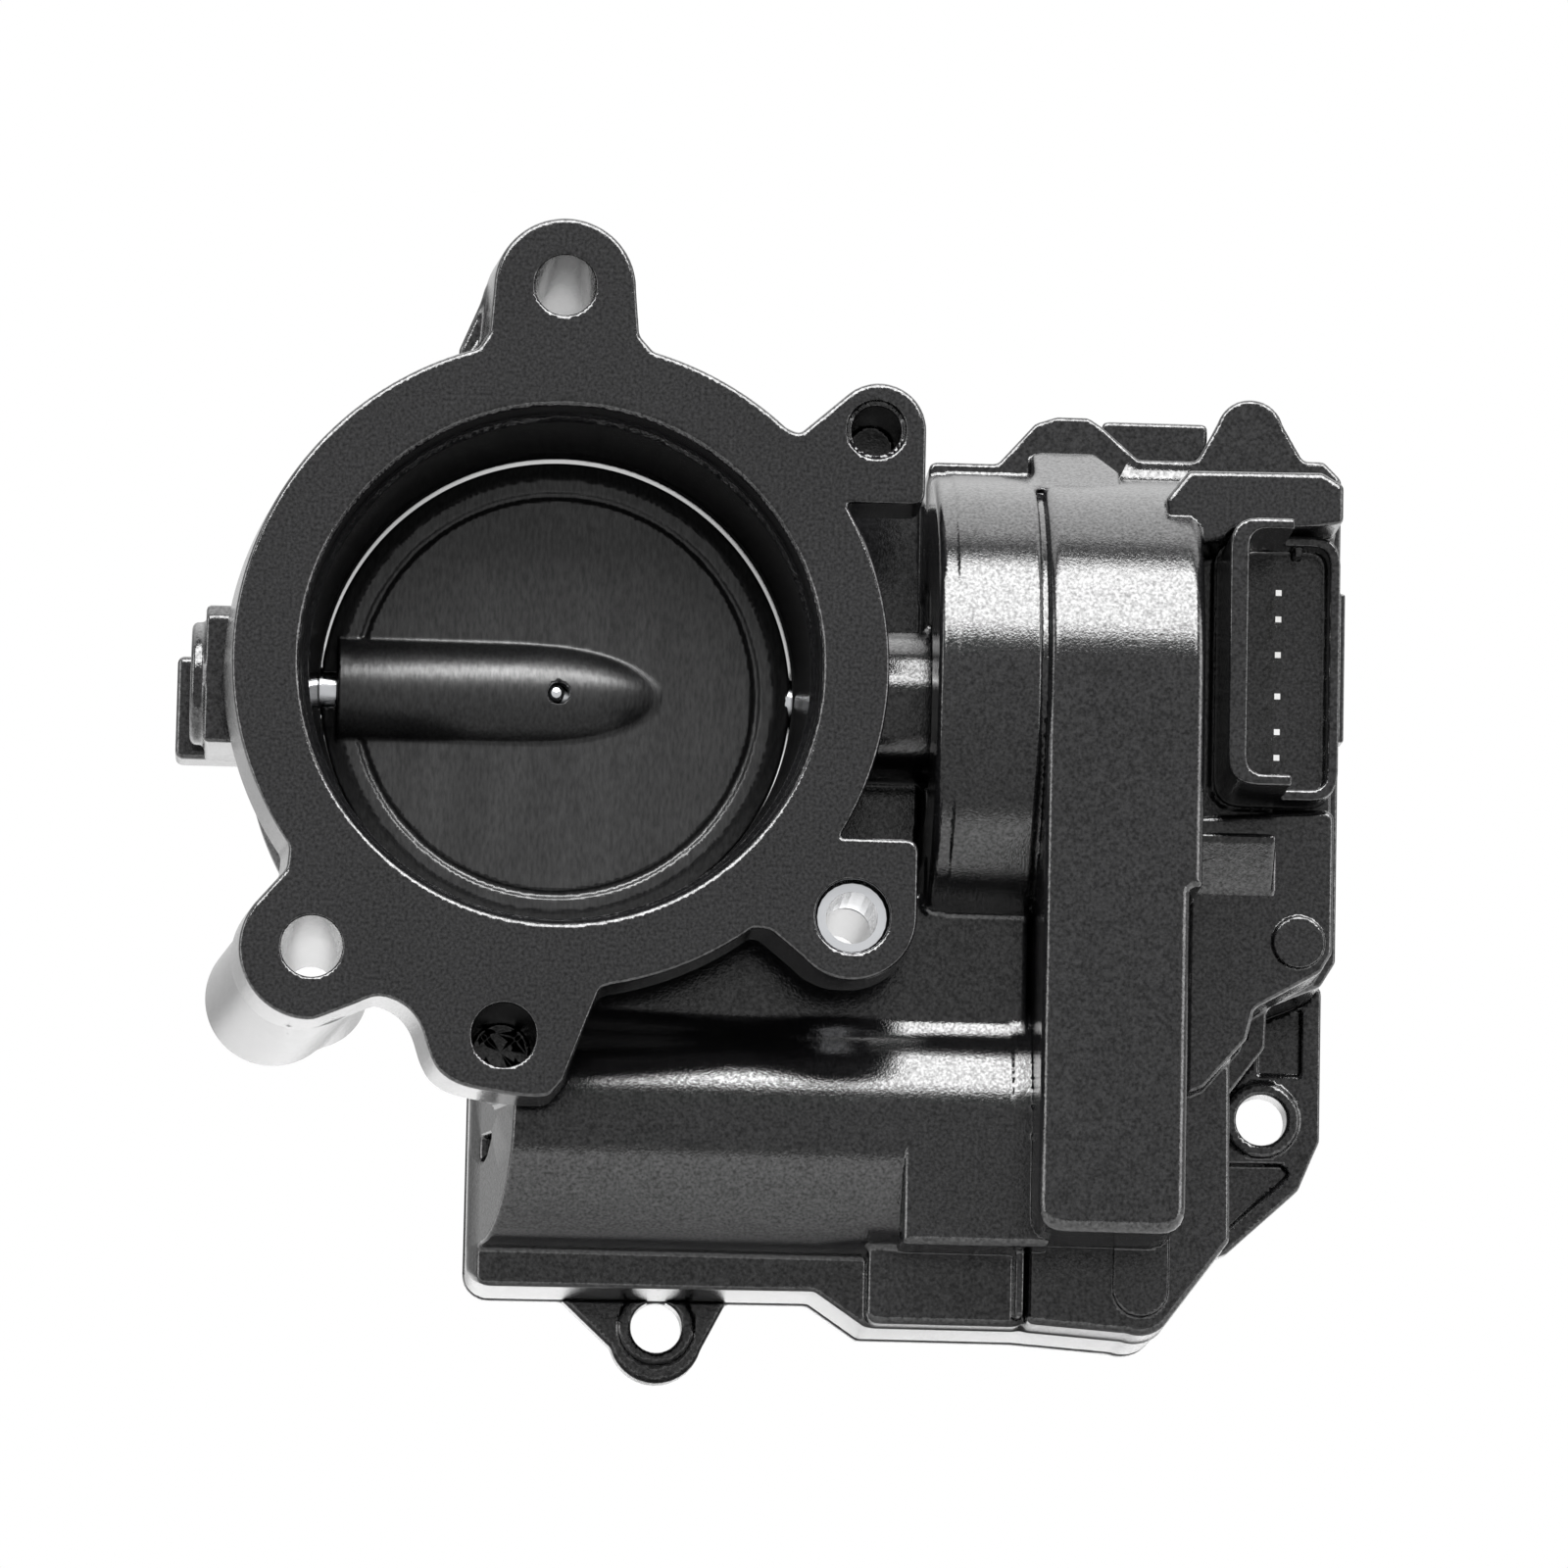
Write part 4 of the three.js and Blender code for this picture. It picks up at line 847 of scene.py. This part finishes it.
# ---- throttle plate, shaft and what holds them --------------------------------------------------
def make_plate():
    """A disc in the bore with a raised field, and a bullet shaped boss over the shaft."""
    boss_r, to_face = 7.3, 4.2
    nose_start, nose_end = -12, 12.6
    face, rear_face = SHAFT_Y - to_face, SHAFT_Y - 1.6
    nose = [(to_face + (boss_r - to_face) * (1 - t ** 4) ** 1.12,
             nose_start + (nose_end - nose_start) * t) for t in np.linspace(0, 1, 24)]
    bullet = Outline([(-6, -26.2), (boss_r, -26.2), *nose, (-6, nose_end)])
    rear = Outline([(-6, -29), (5.2, -29), (5.2, 26), (3.4, 29), (-6, 29)], soften=0.6)
    groove = Outline([
        (23.4, face - 1), (24.8, face - 1), (24.7, face), (24.25, face + 0.4), (23.95, face + 0.4),
        (23.5, face)])
    bevel = Outline([
        (26.2, face - 3), (32, face - 3), (32, face + 2), (28.4, face + 1.0), (26.2, face)])
    solid = Solid()
    solid.add(rod_y(0, 0, 30, face, rear_face, edge=0.1))
    solid.cut(turned_y(bevel), edge=0.2)
    solid.cut(turned_y(groove), edge=0.08)
    front = Solid().add(turned_x(bullet, SHAFT_Y)).keep(
        block(-31, 31, 0, rear_face, -12, 12, edge=0), edge=0)
    solid.add(front, fillet=0.35)
    back = Solid().add(turned_x(rear, SHAFT_Y)).keep(
        block(-31, 31, SHAFT_Y - 3, 60, -12, 12, edge=0), edge=0)
    solid.add(back, fillet=0.9)
    solid.keep(ball(0, SHAFT_Y, 0, 28.35), edge=0.25)
    solid.cut(block(-31, -26.4, 18, SHAFT_Y, -2.1, 2.1, edge=0), edge=0.2)
    solid.cut(rod_x(SHAFT_Y, 0, 3.3, -33, 33, edge=0), edge=0.2)
    solid.cut(rod_y(0.3, 0, 1.3, 10, 45, edge=0), edge=0.15)
    whole = Solid().add(tilted(solid, PLATE_TILT, SHAFT_Y, 0))
    whole.low = np.array([-29, 20, -29.0])
    whole.high = np.array([29, 36, 29.0])
    moulded("plate_moulding", whole, 0.35, 120000, PLATE_BLACK, "throttle", "dark_plastic",
            "throttle_plate")


def make_shaft():
    """The steel shaft: thin through the plate, thicker from the right bearing to the gear."""
    low, high = span("throttle_shaft")
    left, right, thick = float(low[0]), float(high[0]), float(high[2] - low[2]) / 2
    profile = Outline([
        (-6, left), (2.4, left), (3, left + 0.6), (3, 30.2), (3.3, 31), (thick - 0.4, 31),
        (thick, 31.4), (thick, right - 0.5), (thick - 0.5, right), (-6, right)])
    solid = Solid().add(turned_x(profile, SHAFT_Y))
    moulded("shaft_turned", solid, 0.3, 24000, STEEL, "throttle", "steel", "throttle_shaft")


# ---- looks of the CAD pieces that keep their shape ----------------------------------------------
SLOT_MATERIALS = {
    "black_plastic": BLACK, "dark_plastic": DARK, "gear_plastic": GEAR, "steel": STEEL,
    "zinc": ZINC, "spring_steel": SPRING_STEEL, "brass": BRASS, "rubber": RUBBER,
    "magnet": MAGNET, "board": BOARD,
}


def dress_frame():
    """Gives each CAD piece the material of its slot."""
    for part in frame["record"]["subparts"]:
        node = frame["nodes"][part["node"]]
        node.data.materials.clear()
        node.data.materials.append(SLOT_MATERIALS[part["material_slot"]])


# ---- stage, lights and camera -------------------------------------------------------------------
LIGHT_TARGET = Vector((0.025, 0.03, -0.014))


def direction(azimuth, elevation):
    """Unit vector from the object, in degrees: azimuth 0 is in front, positive to the right."""
    a, e = math.radians(azimuth), math.radians(elevation)
    return Vector((math.sin(a) * math.cos(e), -math.cos(a) * math.cos(e), math.sin(e)))


def softbox(name, azimuth, elevation, distance, width, height, radiance):
    """A large even light that faces the object."""
    light = bpy.data.lights.new(name, "AREA")
    light.shape = "RECTANGLE"
    light.size, light.size_y = width, height
    light.energy = radiance * math.pi * width * height
    holder = bpy.data.objects.new(name, light)
    bpy.context.scene.collection.objects.link(holder)
    way = direction(azimuth, elevation)
    holder.location = LIGHT_TARGET + way * distance
    holder.rotation_mode = "QUATERNION"
    holder.rotation_quaternion = way.to_track_quat("Z", "Y")


def make_floor():
    """A pale floor behind and under the part, which lights it from below. The camera skips it."""
    size, front_edge, gap = 6, -0.03, 0.002
    place = (0, size / 2 + front_edge, CAD_BOX[0][2] - gap)
    bpy.ops.mesh.primitive_plane_add(size=size, location=place)
    floor = bpy.context.object
    floor.visible_camera = False
    floor.name = "floor"
    pale = bpy.data.materials.new("floor")
    pale.use_nodes = True
    shader = pale.node_tree.nodes["Principled BSDF"]
    shader.inputs["Base Color"].default_value = (0.45, 0.45, 0.45, 1)
    shader.inputs["Roughness"].default_value = 0.9
    floor.data.materials.append(pale)


def make_world():
    """White to the eye; to the object it is a grey room with a brighter ceiling."""
    world = bpy.data.worlds.new("studio")
    bpy.context.scene.world = world
    world.use_nodes = True
    nodes, links = world.node_tree.nodes, world.node_tree.links
    place = nodes.new("ShaderNodeTexCoord")
    parts = nodes.new("ShaderNodeSeparateXYZ")
    ceiling, ahead = nodes.new("ShaderNodeMapRange"), nodes.new("ShaderNodeMapRange")
    for node, limits in ((ceiling, (0.45, 1, 0, 3.2)), (ahead, (-0.12, -0.09, 0, 1))):
        for name, value in zip(("From Min", "From Max", "To Min", "To Max"), limits):
            node.inputs[name].default_value = value
    product, total = nodes.new("ShaderNodeMath"), nodes.new("ShaderNodeMath")
    product.operation, total.operation = "MULTIPLY", "ADD"
    total.inputs[0].default_value = 0.8
    links.new(place.outputs["Generated"], parts.inputs["Vector"])
    links.new(parts.outputs["Y"], ahead.inputs["Value"])
    links.new(parts.outputs["Z"], ceiling.inputs["Value"])
    links.new(ceiling.outputs["Result"], product.inputs[0])
    links.new(ahead.outputs["Result"], product.inputs[1])
    links.new(product.outputs["Value"], total.inputs[1])
    room, eye, mix, path = (nodes.new(kind) for kind in (
        "ShaderNodeBackground", "ShaderNodeBackground", "ShaderNodeMixShader",
        "ShaderNodeLightPath"))
    room.inputs["Color"].default_value = (1, 1, 1, 1)
    links.new(total.outputs["Value"], room.inputs["Strength"])
    eye.inputs["Color"].default_value = (1, 1, 1, 1)
    links.new(path.outputs["Is Camera Ray"], mix.inputs["Fac"])
    links.new(room.outputs["Background"], mix.inputs[1])
    links.new(eye.outputs["Background"], mix.inputs[2])
    links.new(mix.outputs["Shader"], nodes["World Output"].inputs["Surface"])


def make_camera():
    """A long lens in front of the part, a little to the left of it and below it."""
    azimuth, elevation, roll, distance = -2.66, -8.31, math.radians(1.2), 1.2
    target = Vector((26.56, 0, -13.9)) * MM
    sensor, image_width, pixel_at_target = 36.0, 1600, 0.1155 * MM
    back = direction(azimuth, elevation)
    right = (-back).cross(Vector((0, 0, 1))).normalized()
    up = right.cross(-back)
    level = right * math.cos(roll) + up * math.sin(roll)
    upright = up * math.cos(roll) - right * math.sin(roll)
    data = bpy.data.cameras.new("camera")
    data.sensor_width = sensor
    data.lens = distance / (pixel_at_target * image_width) * sensor
    data.clip_start, data.clip_end = 0.05, 20
    camera = bpy.data.objects.new("camera", data)
    bpy.context.scene.collection.objects.link(camera)
    camera.matrix_world = Matrix.Translation(target + back * distance) @ Matrix(
        (level, upright, back)).transposed().to_4x4()
    bpy.context.scene.camera = camera


def make_lights():
    """One softbox above and in front, and one on each side."""
    softbox("overhead", 0, 50, 1.0, 1.7, 0.7, 19)
    softbox("left_side", -82, 8, 1.2, 0.5, 1.1, 5)
    softbox("right_side", 78, 8, 1.2, 0.5, 1.1, 5)


bpy.context.scene.view_settings.view_transform = "Standard"
make_camera()
make_world()
make_floor()
make_lights()
dress_frame()
make_housing()
make_cover()
make_connector()
make_plate()
make_shaft()
